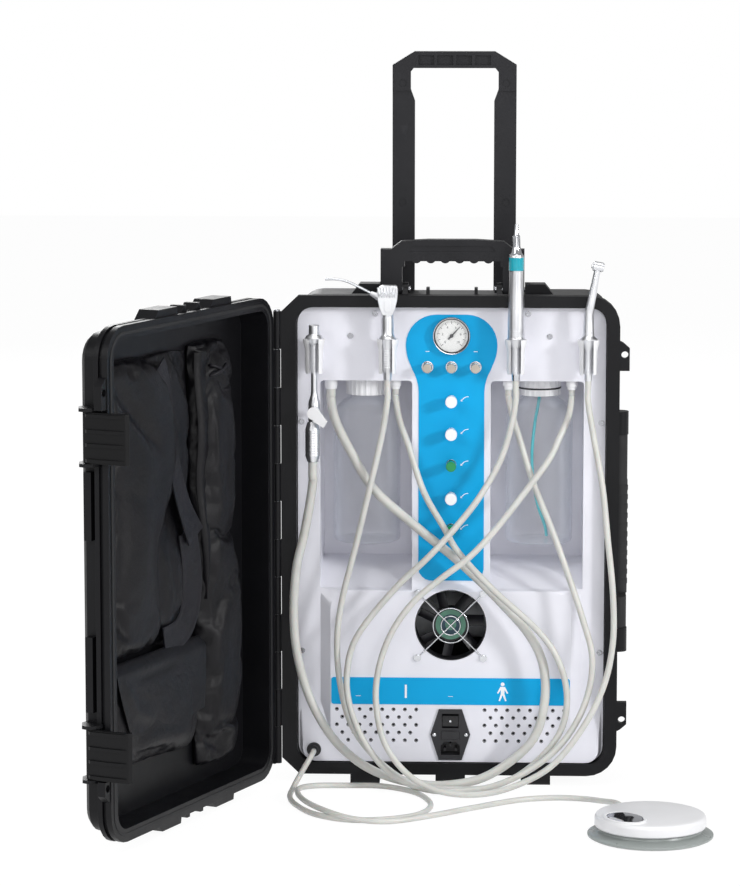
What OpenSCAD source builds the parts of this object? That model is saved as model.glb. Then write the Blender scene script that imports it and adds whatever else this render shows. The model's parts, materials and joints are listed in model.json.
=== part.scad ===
// Portable dental treatment unit in a wheeled hard case, standing open.
// Millimetres. +Z up, +X to the right of someone facing the console, -Y toward them.
// The origin is on the floor, under the middle of the case's front rim.

/* [Case] */
// Width of the case over its rim
case_w = 418; // [400:1:440]
// Height of the case's rim from its lower to its upper edge
case_h = 607; // [590:1:620]
// Height of the rim's lower edge over the floor
case_z = 12; // [11:0.5:13]
// Depth of the base from its front rim to its back
case_d = 190; // [188:1:194]
// Depth of the lid from its rim to its back
lid_d = 42; // [41:0.5:44]
// Radius of the rim's corners
rim_r = 38; // [30:1:42]
// Angle of the open lid, from closed
lid_open = 113.3; // [95:0.1:178]

/* [Console] */
// Depth of the white panel behind the rim
panel_y = 14; // [13:0.5:16]
// Depth of the raised lower console's face behind the rim
face_y = 4; // [3:0.5:5]
// Thickness of the moulded panel
panel_t = 3; // [2.5:0.1:3.2]
// Radius of the five flow knobs
knob_r = 7.3; // [5:0.1:7.6]
// Radius of the three regulator knobs
reg_r = 6; // [5:0.1:6.5]
// Radius of the gauge's bezel
gauge_r = 23.5; // [22:0.1:24]
// Radius of the fan's throat
fan_r = 44; // [42:0.5:44]

/* [Bottles] */
// Outer radius of both bottles
bottle_r = 42; // [38:0.5:42]
// Thickness of a bottle's wall
bottle_t = 1.8; // [1.2:0.1:2.5]

/* [Instruments] */
// Height of the seats of the four instrument holders
seat_z = 566; // [560:1:568]
// Radius of the suction hose
suction_hose_r = 5.75; // [5:0.25:6]
// Radius of the three handpiece hoses
hand_hose_r = 4; // [3.5:0.25:4.25]
// Radius of the foot control's hose
foot_hose_r = 3.5; // [3:0.25:3.5]

/* [Handles and wheels] */
// How far the trolley handle is pulled out
trolley_out = 255; // [0:5:255]
// Radius of the two wheels
wheel_r = 28; // [27:0.5:28]

/* [Foot control] */
// Radius of the foot control's base disc
pedal_r = 75; // [70:1:80]

/* [Hidden] */
$fn = 48;

hw = case_w / 2;
z0 = case_z;
z1 = case_z + case_h;
hinge_x = -217;
lock_z = [84.5, 546];
wall_in = 11;
ledge_y = panel_y + 14;
bay_top = 511;
bay_floor = 275;
bay_lip = 246;
bay_back = 112;
fan_z = 203;
fan_pitch = 82.5;
inlet_z = 63.5;
rocker_z = inlet_z + 17.6;
gauge_z = 568;
reg_z = 528.6;
knob_z = [487, 446, 406, 365, 325];
bottle_x = [-107, 110];
bottle_y = 62;
holder_x = [-170, -79, 80, 169.5];
holder_y = -12;
arm_z = 621;
arm_y = 60;
wheel_x = 172;
wheel_y = 172;
trolley_y0 = 168;
trolley_y1 = 182;
pedal = [243, -258];
pedal_tail = 80;
pedal_turn = 112.5;

// ---- shared shapes -------------------------------------------------------

// Points of an arc round [cx, cy]
function arc(cx, cy, r, a0, a1, n) =
    [for (i = [0:n]) let (a = a0 + (a1 - a0) * i / n) [cx + r * cos(a), cy + r * sin(a)]];

// Outline of a rectangle with round corners
function rrect(xa, ya, xb, yb, r, n = 6) = concat(
    arc(xb - r, ya + r, r, -90, 0, n), arc(xb - r, yb - r, r, 0, 90, n),
    arc(xa + r, yb - r, r, 90, 180, n), arc(xa + r, ya + r, r, 180, 270, n));

// Plate of an outline in X and Z, from ya back to yb
module plate_y(pts, ya, yb) {
    translate([0, yb, 0])
        rotate([90, 0, 0])
            linear_extrude(yb - ya) polygon(pts);
}

// The same, drawn in at its far side by inset on every edge
module plate_taper(xa, za, xb, zb, r, ya, yb, inset) {
    hull() {
        plate_y(rrect(xa, za, xb, zb, r), ya, ya + 0.01);
        plate_y(rrect(xa + inset, za + inset, xb - inset, zb - inset, max(r - inset, 4)),
            yb - 0.01, yb);
    }
}

// Bar of an outline in Y and Z, from xa to xb
module bar_x(pts, xa, xb) {
    translate([xa, 0, 0])
        rotate([90, 0, 90])
            linear_extrude(xb - xa) polygon(pts);
}

// Round bar along Y
module rod_y(x, z, ya, yb, r) {
    translate([x, yb, z])
        rotate([90, 0, 0])
            cylinder(h = yb - ya, r = r);
}

// Round bar along X
module rod_x(y, z, xa, xb, r) {
    translate([xa, y, z])
        rotate([0, 90, 0])
            cylinder(h = xb - xa, r = r);
}

// Round bar along Z
module rod_z(x, y, za, zb, r) {
    translate([x, y, za])
        cylinder(h = zb - za, r = r);
}

// Box from one corner to the other
module box(a, b) {
    translate(a)
        cube(b - a);
}

// Solid of revolution about a vertical axis at [x, y]; pts are [radius, height]
module turned(x, y, pts) {
    translate([x, y, 0])
        rotate_extrude() polygon(pts);
}

// The lid is drawn closed, its hinge axis on Z, and swung to where it stands
module lid_place() {
    translate([hinge_x, 0, 0])
        rotate([0, 0, -lid_open])
            children();
}

// ---- swept hoses ---------------------------------------------------------

function unit(v) = v / norm(v);

// Point of a smooth curve through p, at step t of segment i
function spline(p, i, t) =
    let (n = len(p) - 1, a = p[max(i - 1, 0)], b = p[i], c = p[min(i + 1, n)], d = p[min(i + 2, n)])
    0.5 * (2 * b + (c - a) * t + (2 * a - 5 * b + 4 * c - d) * t * t
        + (3 * b - a - 3 * c + d) * t * t * t);

// Points along the whole route, with the same number of steps in every segment
function route(p, steps) = concat(
    [for (i = [0:len(p) - 2]) for (k = [0:steps - 1]) spline(p, i, k / steps)],
    [p[len(p) - 1]]);

// One closed tube along a route; side is a direction the route never runs along
module hose(points, r, steps, side, sides = 8) {
    q = route(points, steps);
    n = len(q);
    ring = [for (i = [0:n - 1])
        let (t = unit(q[min(i + 1, n - 1)] - q[max(i - 1, 0)]),
            u = unit(cross(t, side)), v = cross(t, u))
        for (k = [0:sides - 1]) let (a = 360 * k / sides) q[i] + r * (cos(a) * u + sin(a) * v)];
    walls = [for (i = [0:n - 2]) for (k = [0:sides - 1])
        let (m = (k + 1) % sides, a = i * sides + k, b = i * sides + m)
        each [[a, a + sides, b], [b, a + sides, b + sides]]];
    first = [for (k = [1:sides - 2]) [0, k, k + 1]];
    last = [for (k = [1:sides - 2])
        [(n - 1) * sides, (n - 1) * sides + k + 1, (n - 1) * sides + k]];
    polyhedron(points = ring, faces = concat(walls, first, last), convexity = 6);
}

// Point at radius r from the pedal's middle, toward its hose tail
function pedal_at(r, z) =
    [pedal[0] + r * cos(pedal_turn), pedal[1] + r * sin(pedal_turn), z];

suction_route = [[-151, 28, 499], [-151, 28, 492], [-151, 28, 485], [-145, 18, 460], [-126, 6, 424],
    [-95, -1, 375], [-38, -7, 326], [12, -12, 286], [60, -17, 240], [99, -21, 196],
    [117, -25, 155], [117, -28, 105], [100, -30, 60], [50, -31, 20], [0, -32, 7],
    [-50, -30, 9], [-101, -28, 26], [-142, -24, 58], [-172, -20, 105], [-190, -16, 160],
    [-196, -14, 215], [-193, -12, 275], [-183, -10, 320], [-176, -8, 358],
    [-172, -9, 386], [-172, -12, 394], [-172, -12, 403], [-172, -12, 412]];
syringe_route = [[-70, 28, 499], [-70, 28, 494], [-70, 28, 489], [-65, 14, 462], [-53, 4, 430],
    [-34, -4, 374], [-8, -21, 331], [11, -27, 300], [54, -33, 255], [111, -37, 203],
    [136, -39, 165], [146, -41, 120], [136, -43, 75], [100, -45, 33], [55, -47, 9],
    [0, -47, 5], [-50, -46, 13], [-91, -44, 42], [-122, -40, 83], [-137, -34, 135],
    [-141, -28, 190], [-135, -22, 240], [-120, -18, 300], [-102, -17, 375],
    [-86, -12, 445], [-79, -12, 490], [-79, -12, 503], [-79, -12, 515]];
low_speed_route = [[71, 28, 499], [71, 28, 494], [71, 28, 489], [77, 16, 464], [84, 8, 443],
    [103, -2, 384], [125, -14, 331], [140, -20, 291], [165, -30, 218], [177, -36, 170],
    [170, -43, 120], [147, -51, 75], [111, -56, 40], [60, -60, 14], [10, -62, 6],
    [-35, -61, 9], [-75, -60, 29], [-105, -57, 65], [-124, -50, 109], [-128, -44, 150],
    [-116, -38, 196], [-70, -35, 255], [-26, -37, 298], [11, -32, 339], [38, -24, 374],
    [62, -15, 417], [75, -12, 460], [80, -12, 490], [80, -12, 503], [80, -12, 515]];
high_speed_route = [[150, 28, 499], [150, 28, 494], [150, 28, 489], [146, 17, 467], [135, 5, 442],
    [120, -8, 413], [88, -25, 372], [54, -38, 330], [23, -46, 298], [-10, -49, 273],
    [-45, -51, 243], [-72, -54, 205], [-88, -58, 160], [-91, -62, 115], [-80, -68, 67],
    [-52, -73, 30], [-15, -76, 10], [30, -76, 5], [75, -72, 13], [125, -65, 38],
    [163, -58, 83], [190, -50, 135], [202, -43, 190], [202, -35, 250], [195, -27, 320],
    [188, -18, 385], [176, -13, 450], [169.5, -12, 490], [169.5, -12, 503], [169.5, -12, 515]];
foot_route = [[-172, -6, 43], [-172, -10, 43], [-172, -15, 43], [-178, -27, 34], [-190, -36, 14],
    [-196, -52, 4], [-197, -90, 4], [-188, -130, 4], [-163, -178, 4], [-122, -206, 4],
    [-78, -204, 4], [-38, -180, 4], [-22, -140, 4], [-26, -100, 4], [-46, -58, 4],
    [-85, -30, 4], [-130, -28, 4], [-168, -44, 7], [-187, -80, 11], [-180, -128, 11],
    [-156, -178, 11], [-116, -212, 7], [-70, -213, 4], [-20, -182, 4], [30, -140, 4],
    [85, -98, 4], [130, -84, 4], [166, -92, 5], [190, -120, 9], [201, -146, 14],
    pedal_at(pedal_tail + 18, 18), pedal_at(pedal_tail + 8, 18), pedal_at(pedal_tail, 18)];

// ---- the case ------------------------------------------------------------

// Rim with its two lips, from the parting plane back
module rim(xa, xb, dir) {
    for (s = [[0, 8], [13, 20]])
        plate_y(rrect(xa, z0, xb, z1, rim_r), min(dir * s[0], dir * s[1]),
            max(dir * s[0], dir * s[1]));
    plate_y(rrect(xa + 3.5, z0 + 3.5, xb - 3.5, z1 - 3.5, rim_r - 3.5),
        min(0, dir * 14), max(0, dir * 14));
}

// Knuckles of the long hinge; every second one from the given start
module knuckles(first, side) {
    pitch = 47.8;
    for (i = [first:2:11])
        difference() {
            union() {
                rod_z(0, 0, 26 + i * pitch, 26 + i * pitch + pitch - 0.8, 4.5);
                box([0, side > 0 ? 0 : -4.5, 26 + i * pitch],
                    [9, side > 0 ? 4.5 : 0, 26 + i * pitch + pitch - 0.8]);
            }
            rod_z(0, 0, 25 + i * pitch, 27 + i * pitch + pitch, 2.05);
        }
}

// Tab for a padlock at the free edge: flat at z, and tapering off in direction s
module lock_tab(x, z, s, long, ya, yb) {
    plate_y([[x - 10, z], [x + 12, z], [x + 12, z + s * (long - 14)],
        [x + 4, z + s * (long - 7)], [x - 10, z + s * long]], ya, yb);
}

// Ear that carries one end of the carry handle
module handle_ear(xa, xb) {
    bar_x(concat([[arm_y + 22, 607], [arm_y - 22, 607]],
        [[arm_y - 9, arm_z + 2]], arc(arm_y, arm_z, 9, 170, 10, 6)), xa, xb);
}

// Sloping gusset beside each outer ear
module ear_gusset(s) {
    pts = [[0, 607], [38, 607], [38, 613], [25, 629], [13, 629], [0, 629]];
    plate_y([for (p = pts) [s * (90.8 + p[0]), p[1]]], arm_y - 14, arm_y + 14);
}

module base_shell() {
    color([0.09, 0.09, 0.1])
        difference() {
            union() {
                rim(-hw, hw, 1);
                // Straight hinge side with clipped corners
                plate_y([[-190, z0], [-212, z0 + 21], [-212, z1 - 21], [-190, z1],
                    [-150, z1], [-150, z0]], 0, 8);
                plate_y(rrect(wall_in - hw, z0 + 10, hw - wall_in, z1 - 9, 30), 12, case_d - 10);
                plate_taper(wall_in - hw, z0 + 10, hw - wall_in, z1 - 9, 30,
                    case_d - 10.01, case_d, 6);
                // Strengthening ribs round the box, as on the lid
                for (y = [30, 108, 140])
                    plate_y(rrect(wall_in - hw - 3, z0 + 24, hw - wall_in + 3, z1 - 60, 20),
                        y - 3, y + 3);
                translate([hinge_x, 0, 0]) knuckles(1, 1);
                lock_tab(hw, 526, 1, 42, 1, 11);
                lock_tab(hw, 107, -1, 42, 1, 11);
                // Feet under the front edge, and the one hidden in the middle
                for (x = [-107.5, 0, 107.5])
                    bar_x([[0, 14], [0, 2], [2, 0], [27, 0], [29, 2], [29, 24], [0, 24]],
                        x - 18.5, x + 18.5);
                // Ears and gussets of the carry handle
                for (s = [-1, 1]) {
                    handle_ear(s > 0 ? 90.8 : -97, s > 0 ? 97 : -90.8);
                    handle_ear(s > 0 ? 55.5 : -62.2, s > 0 ? 62.2 : -55.5);
                    ear_gusset(s);
                    bar_x([[24, 607], [24, 624], [27, 626], [43, 626], [46, 624], [46, 607]],
                        s * 30 - 2, s * 30 + 2);
                }
                // Barrels of the side handle
                for (z = [[163, 193.2], [439.8, 469]]) {
                    rod_z(210, 55, z[0], z[1], 12);
                    box([190, 43, z[0]], [210, 67, z[1]]);
                }
                // Long skid ribs on the back
                for (x = [-160, -128, 128, 160])
                    box([x - 5, case_d - 4, 110], [x + 5, case_d + 4, 540]);
            }
            // Mouth, with a ledge at its end that the console's skirt lands on
            plate_y(rrect(-193, 27, 193, 604, 21), -1, ledge_y);
            plate_y(rrect(-188, 32, 188, 599, 16), ledge_y - 1, ledge_y + 5);
            // Hollow of the box, up to the wheel wells and the trolley channel
            difference() {
                plate_y(rrect(-193, 27, 193, 604, 21), ledge_y + 4, case_d - 5);
                box([-97, 157, 0], [97, 200, 640]);
                for (s = [-1, 1])
                    box([s > 0 ? 148 : -200, 139, 0], [s > 0 ? 200 : -148, 200, 66]);
            }
            // Channel of the trolley handle, open at its top
            box([-92, 162, 32], [92, 200, 640]);
            // Wheel wells, open below, behind and at the sides
            for (s = [-1, 1]) {
                box([s > 0 ? 154 : -230, 143, -1], [s > 0 ? 230 : -154, 220, 62]);
                rod_x(wheel_y, wheel_r, s > 0 ? 140 : -160, s > 0 ? 160 : -140, 4);
            }
            for (z = lock_z)
                rod_y(hw + 6, z, -1, 12, 4.4);
            rod_x(arm_y, arm_z, -99, -50, 3.05);
            rod_x(arm_y, arm_z, 50, 99, 3.05);
            rod_z(210, 55, 168, 194, 4.05);
            rod_z(210, 55, 439, 464, 4.05);
        }
}

module steel_pins() {
    color([0.75, 0.75, 0.77]) {
        // Hinge pin with its head above the top knuckle
        rod_z(hinge_x, 0, 26, 599, 2);
        rod_z(hinge_x, 0, 598.8, 601, 4);
        for (s = [-1, 1]) {
            // Wheel axle, pressed into the well's inner wall
            rod_x(wheel_y, wheel_r, s > 0 ? 141 : -186, s > 0 ? 186 : -141, 4);
            rod_x(wheel_y, wheel_r, s > 0 ? 185.5 : -190, s > 0 ? 190 : -185.5, 8);
            // Pin of the carry handle
            rod_x(arm_y, arm_z, s > 0 ? 54.5 : -98, s > 0 ? 98 : -54.5, 3);
            rod_x(arm_y, arm_z, s > 0 ? 52.5 : -55.5, s > 0 ? 55.5 : -52.5, 4.5);
        }
    }
}

// ---- the console ---------------------------------------------------------

// Space of one bottle bay, grown by g for the outside of its wall
module bay_space(s, g) {
    xa = s > 0 ? 49 : -164;
    xb = s > 0 ? 165 : -49;
    intersection() {
        plate_y(rrect(xa - g, bay_lip - 30, xb + g, bay_top + g, 5 + g), face_y - 5, bay_back + g);
        bar_x([[face_y - 6, bay_lip - g], [18, bay_lip + 3 - g], [40, bay_floor - 9 - g],
            [70, bay_floor - g], [bay_back + g, bay_floor - g],
            [bay_back + g, bay_top + g], [face_y - 6, bay_top + g]], xa - g - 1, xb + g + 1);
    }
}

// Raised lower console, grown inwards by g for its hollow side
module lower_block(g) {
    hull() {
        plate_y(rrect(-164 + g, 28 + g, 164 - g, 258.4 - g, 22), panel_y + g, panel_y + g + 0.5);
        plate_y(rrect(-151 + g, 28 + g, 151 - g, 246 - g, 24), face_y + g, face_y + g + 0.5);
    }
    hull() {
        plate_y(rrect(-190 + g, 28 + g, 190 - g, 104 - g, 18), panel_y + g, panel_y + g + 0.5);
        plate_y(rrect(-186 + g, 28 + g, 186 - g, 64 - g, 16), face_y + g, face_y + g + 0.5);
    }
}

// Rows of small round air holes on one side
module vent_holes(s) {
    for (row = [0:4])
        for (k = [0:7 - row % 2])
            translate([s * (43 + (row % 2) * 7.5 + k * 14.3), 0, 95 - row * 9.9])
                rotate([90, 0, 0])
                    cylinder(h = 30, r = 1.8, center = true, $fn = 6);
}

module console_panel() {
    color([0.93, 0.93, 0.96])
        difference() {
            union() {
                plate_y(rrect(-192, 28, 192, 603, 20), panel_y, panel_y + panel_t);
                difference() {
                    plate_y(rrect(-192, 28, 192, 603, 20), panel_y + 1, ledge_y);
                    plate_y(rrect(-189, 31, 189, 600, 17), panel_y, ledge_y + 1);
                }
                lower_block(0);
                intersection() {
                    union() {
                        bay_space(-1, 2.5);
                        bay_space(1, 2.5);
                    }
                    box([-200, panel_y, 200], [200, 130, 540]);
                }
            }
            difference() {
                translate([0, 0.6, 0]) lower_block(2.4);
                bay_space(-1, 2.5);
                bay_space(1, 2.5);
            }
            box([-150, face_y + panel_t + 3, 34], [150, panel_y + 8, 236]);
            box([-45.4, face_y + panel_t, fan_z - 45.4], [45.4, 40, fan_z + 45.4]);
            bay_space(-1, 0);
            bay_space(1, 0);
            rod_y(0, gauge_z, 0, 40, 20.5);
            for (x = [-30, 0, 30])
                rod_y(x, reg_z, 0, 40, 4.6);
            for (z = knob_z)
                rod_y(0, z, 0, 40, 4.6);
            rod_y(0, fan_z, -5, 40, fan_r + 1);
            for (sx = [-1, 1], sz = [-1, 1])
                rod_y(sx * fan_pitch / 2, fan_z + sz * fan_pitch / 2, -5, 40, 2.2);
            box([-14.5, -5, inlet_z - 29.5], [14.5, 40, inlet_z + 29.5]);
            for (s = [-1, 1]) {
                rod_y(s * 20, inlet_z, -5, 40, 1.8);
                vent_holes(s);
            }
            rod_y(-172, 43, -5, 40, 6);
            // Ceilings of the bays, where caps and hose outlets pass
            for (x = [-151, -70, 71, 150])
                rod_z(x, 28, 500, 530, 4);
            for (x = bottle_x)
                rod_z(x, bottle_y, 500, 530, 6);
        }
}

// Blue key-shaped label outline
function key_label() =
    let (p = concat([[27, 258.5], [32, 260], [36.6, 263.6], [39.8, 268.2], [41, 273], [41, 497],
        [41.7, 505], [43.3, 512], [45.8, 519], [49, 525]],
        arc(0, 556, 57, -26, -3, 6), arc(19, 556, 38, 0, 90, 8)))
    concat(p, [for (i = [len(p) - 1:-1:0]) [-p[i][0], p[i][1]]]);

module panel_labels() {
    color([0.05, 0.62, 0.86]) {
        difference() {
            plate_y(key_label(), panel_y - 0.8, panel_y);
            rod_y(0, gauge_z, 0, 40, 20.5);
            for (x = [-30, 0, 30])
                rod_y(x, reg_z, 0, 40, 4.6);
            for (z = knob_z)
                rod_y(0, z, 0, 40, 4.6);
        }
        plate_y(rrect(-150, 101.6, 150, 136, 3, 3), face_y - 0.8, face_y);
    }
}

module panel_screws() {
    color([0.7, 0.7, 0.72])
        for (p = [[-95, 595], [95, 595], [-126, 567], [122, 567], [-187, 459], [187, 459],
            [-187, 168], [187, 168]])
            difference() {
                union() {
                    rod_y(p[0], p[1], panel_y - 1.6, panel_y, 3.2);
                    rod_y(p[0], p[1], panel_y - 1, panel_y, 3.6);
                }
                for (a = [0, 90])
                    translate([p[0], panel_y - 1.6, p[1]])
                        rotate([0, a + 20, 0])
                            cube([4.4, 1.2, 0.8], center = true);
            }
}

module gauge_case() {
    color([0.78, 0.78, 0.8])
        difference() {
            union() {
                rod_y(0, gauge_z, 5.6, panel_y - 0.8, gauge_r);
                rod_y(0, gauge_z, 4.6, 5.7, gauge_r - 1);
                rod_y(0, gauge_z, panel_y - 1, 44, 20);
                rod_y(0, gauge_z, 43, 52, 5);
            }
            rod_y(0, gauge_z, 4, 5.7, gauge_r - 4);
            rod_y(0, gauge_z, 5.6, 10.6, gauge_r - 2.9);
            rod_y(0, gauge_z, 10, 12.6, 1.05);
        }
}

module gauge_dial() {
    color([0.95, 0.95, 0.94])
        difference() {
            rod_y(0, gauge_z, 9.8, 10.6, gauge_r - 3);
            rod_y(0, gauge_z, 9, 11, 1.05);
        }
}

module gauge_lens() {
    color([0.85, 0.92, 0.95, 0.35])
        rod_y(0, gauge_z, 5.6, 6.6, gauge_r - 3);
}

module gauge_needle() {
    color([0.1, 0.1, 0.1]) {
        rod_y(0, gauge_z, 7.8, 9.4, 2.4);
        rod_y(0, gauge_z, 8, 12.4, 1);
        translate([0, 0, gauge_z])
            rotate([0, -47, 0])
                plate_y([[-6, -1.1], [-6, 1.1], [0, 1], [15.5, 0.3], [15.5, -0.3], [0, -1]],
                    8.2, 8.9);
    }
}

// Bush that carries one valve stem through the label and the panel
module bush(x, z, r) {
    difference() {
        union() {
            rod_y(x, z, panel_y - 2.6, panel_y - 0.8, r);
            rod_y(x, z, panel_y - 1, 24, 4.5);
        }
        rod_y(x, z, 0, 25, 3.05);
    }
}

module valve_bushes() {
    color([0.75, 0.75, 0.77]) {
        for (x = [-30, 0, 30])
            bush(x, reg_z, 7.4);
        for (z = knob_z)
            bush(0, z, 6.4);
    }
}

module regulator_knob(i) {
    x = (i - 2) * 30;
    color([0.72, 0.7, 0.66])
        difference() {
            union() {
                rod_y(x, reg_z, -5, 8.5, reg_r);
                rod_y(x, reg_z, -6, -5, reg_r - 0.8);
                rod_y(x, reg_z, 8, 22, 3);
            }
            for (a = [0:30:330])
                translate([x, 1, reg_z])
                    rotate([0, a, 0])
                        translate([reg_r + 0.3, 0, 0])
                            cube([1.6, 16, 1.2], center = true);
        }
}

module flow_knob(i) {
    z = knob_z[i - 1];
    green = i == 3 || i == 5;
    r = green ? knob_r - 1 : knob_r;
    color(green ? [0.02, 0.5, 0.27] : [0.95, 0.95, 0.95]) {
        rod_y(0, z, -9, 2, r);
        rod_y(0, z, -10, -9, r - 0.9);
        rod_y(0, z, 1.9, 8, r - 2);
        rod_y(0, z, 7.9, 22, 3);
    }
}

// White elbow in the roof of a bay, hose outlet pointing down, and the foot grommet
module hose_fittings() {
    color([0.92, 0.92, 0.92]) {
        for (x = [-151, -70, 71, 150]) {
            rod_z(x, 28, 499, 503, x < -100 ? 7.4 : 5.6);
            rod_z(x, 28, 503, bay_top, x < -100 ? 8 : 7);
            rod_z(x, 28, bay_top - 1, 522, 3.9);
        }
        rod_y(-172, 43, 0.5, face_y, 9);
        rod_y(-172, 43, -6, 0.6, 6);
        rod_y(-172, 43, face_y - 0.1, 16, 5.9);
    }
}

module bottle_caps() {
    color([0.95, 0.95, 0.95])
        for (x = bottle_x)
            difference() {
                union() {
                    rod_z(x, bottle_y, 489, bay_top, 26);
                    rod_z(x, bottle_y, bay_top - 0.1, 522, 5.9);
                    for (a = [0:15:345])
                        translate([x, bottle_y, 489])
                            rotate([0, 0, a])
                                translate([25.7, -1, 0])
                                    cube([1, 2, 18]);
                }
                rod_z(x, bottle_y, 488, 507, 22.45);
            }
}

// Blow-moulded bottle with its neck inside the cap
module bottle(x) {
    t = bottle_t;
    r = bottle_r;
    turned(x, bottle_y, [[0, 302], [r - 5, 302], [r - 1.5, 303.5], [r, 307], [r, 462],
        [r - 2, 472], [r - 9, 481], [22.4, 485], [22.4, 506.8], [22.4 - t, 506.8],
        [22.4 - t, 484], [r - 9 - t, 479.5], [r - 2 - t, 471], [r - t, 461],
        [r - t, 308], [r - 6, 304], [0, 304]]);
}

module waste_bottle() {
    color([0.85, 0.9, 0.95, 0.3]) bottle(bottle_x[0]);
}

module water_bottle() {
    color([0.85, 0.9, 0.95, 0.3]) bottle(bottle_x[1]);
}

module water_pickup_tube() {
    color([0.2, 0.75, 0.8])
        hose([[bottle_x[1], bottle_y, 507], [bottle_x[1], bottle_y, 499],
            [bottle_x[1], bottle_y, 488],
            [bottle_x[1] - 6, bottle_y, 450], [bottle_x[1] - 9, bottle_y, 400],
            [bottle_x[1] - 2, bottle_y, 350], [bottle_x[1] + 8, bottle_y, 320],
            [bottle_x[1] + 10, bottle_y, 308]], 2, 2, [0, 1, 0]);
}

module fan_frame() {
    y = face_y + panel_t;
    color([0.08, 0.08, 0.09]) {
        difference() {
            plate_y(rrect(-45, fan_z - 45, 45, fan_z + 45, 5, 3), y, y + 25);
            rod_y(0, fan_z, y - 1, y + 26, fan_r);
            for (sx = [-1, 1], sz = [-1, 1])
                rod_y(sx * fan_pitch / 2, fan_z + sz * fan_pitch / 2, y - 1, y + 26, 1.8);
        }
        // Motor seat on its four struts, with the rotor's spindle
        rod_y(0, fan_z, y + 21, y + 24.4, 21);
        rod_y(0, fan_z, y + 6, y + 22, 2);
        for (a = [45:90:315])
            translate([0, y + 21.4, fan_z])
                rotate([0, a, 0])
                    translate([12, 0, -2])
                        cube([36, 2.6, 4]);
    }
}

module fan_rotor() {
    y = face_y + panel_t;
    color([0.12, 0.12, 0.13]) {
        difference() {
            union() {
                rod_y(0, fan_z, y + 4, y + 20, 21);
                rod_y(0, fan_z, y + 3.4, y + 4.1, 20);
            }
            rod_y(0, fan_z, y + 5.5, y + 21, 2.05);
        }
        // Cambered blades, each an arc drawn out from the hub
        for (a = [0:360 / 7:359])
            translate([0, y + 12, fan_z])
                rotate([0, a, 0])
                    rotate([0, 90, 0])
                        translate([0, 0, 19])
                            linear_extrude(22.5)
                                polygon(concat(arc(8, 14, 20, 205, 252, 6),
                                    arc(8, 14, 18.6, 252, 205, 6)));
    }
}

module finger_guard() {
    color([0.82, 0.82, 0.84]) {
        for (sx = [-1, 1], sz = [-1, 1]) {
            // Pan-head screw through the wire's eye
            rod_y(sx * fan_pitch / 2, fan_z + sz * fan_pitch / 2, face_y - 3.8, face_y - 1.8, 3.6);
            rod_y(sx * fan_pitch / 2, fan_z + sz * fan_pitch / 2, face_y - 2, face_y, 4.6);
            rod_y(sx * fan_pitch / 2, fan_z + sz * fan_pitch / 2, face_y - 0.1, face_y + 14, 1.7);
        }
        for (a = [45, 135])
            translate([0, face_y - 1, fan_z])
                rotate([0, a, 0])
                    translate([0, 0, -fan_pitch * 0.7071 + 2])
                        cylinder(h = fan_pitch * 1.4142 - 4, r = 0.9);
        for (r = [12, 22])
            translate([0, face_y - 1, fan_z])
                rotate([90, 0, 0])
                    rotate_extrude() translate([r, 0]) circle(r = 0.8, $fn = 16);
    }
}

// Outline of the six-sided inlet flange
function inlet_outline() = [[-25, inlet_z], [-14.5, inlet_z + 32.5], [14.5, inlet_z + 32.5],
    [25, inlet_z], [14.5, inlet_z - 32.5], [-14.5, inlet_z - 32.5]];

module power_inlet() {
    y = face_y - 2.5;
    color([0.12, 0.12, 0.14])
        difference() {
            union() {
                plate_y(inlet_outline(), y, face_y);
                box([-14, face_y - 0.1, inlet_z - 29], [14, 40, inlet_z + 29]);
            }
            // Wells of the rocker, the fuse drawer and the plug
            box([-10.5, y - 1, rocker_z - 9.2], [10.5, 24, rocker_z + 9.2]);
            box([-11.5, y - 1, inlet_z - 6], [11.5, 32, inlet_z + 5]);
            plate_y([[-12, inlet_z - 26], [-12, inlet_z - 14], [-7, inlet_z - 9],
                [7, inlet_z - 9], [12, inlet_z - 14], [12, inlet_z - 26]], y - 1, 22);
            for (s = [-1, 1])
                rod_y(s * 20, inlet_z, 0, 5, 1.8);
            rod_x(face_y, rocker_z, -13, 13, 1.55);
        }
    // The three blades of the socket, and the two fixing screws
    color([0.8, 0.78, 0.6]) {
        box([-1, 5, inlet_z - 16], [1, 23, inlet_z - 12]);
        for (s = [-1, 1])
            box([s * 7 - 1, 5, inlet_z - 22], [s * 7 + 1, 23, inlet_z - 18]);
    }
    color([0.7, 0.7, 0.72])
        for (s = [-1, 1])
            rod_y(s * 20, inlet_z, y - 1.2, 8, 1.8);
}

module rocker_switch() {
    // Two slanted faces about the spindle, the upper half standing out
    faces = [[-5.1, 7.2], [-2.9, 0], [-2, -7.2], [5, -6], [7, 0], [4, 6.5]];
    color([0.05, 0.05, 0.05]) {
        bar_x([for (p = faces) [face_y + p[0], rocker_z + p[1]]], -10, 10);
        rod_x(face_y, rocker_z, -12.9, 12.9, 1.5);
    }
}

module fuse_drawer() {
    y = face_y - 2.5;
    color([0.07, 0.07, 0.08])
        difference() {
            union() {
                box([-11.2, y - 0.8, inlet_z - 5.7], [11.2, 30, inlet_z + 4.7]);
                box([-4, y - 2, inlet_z + 3], [4, y, inlet_z + 4.7]);
            }
            box([-9, 6, inlet_z - 3.5], [9, 27, inlet_z + 6]);
        }
}

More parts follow.
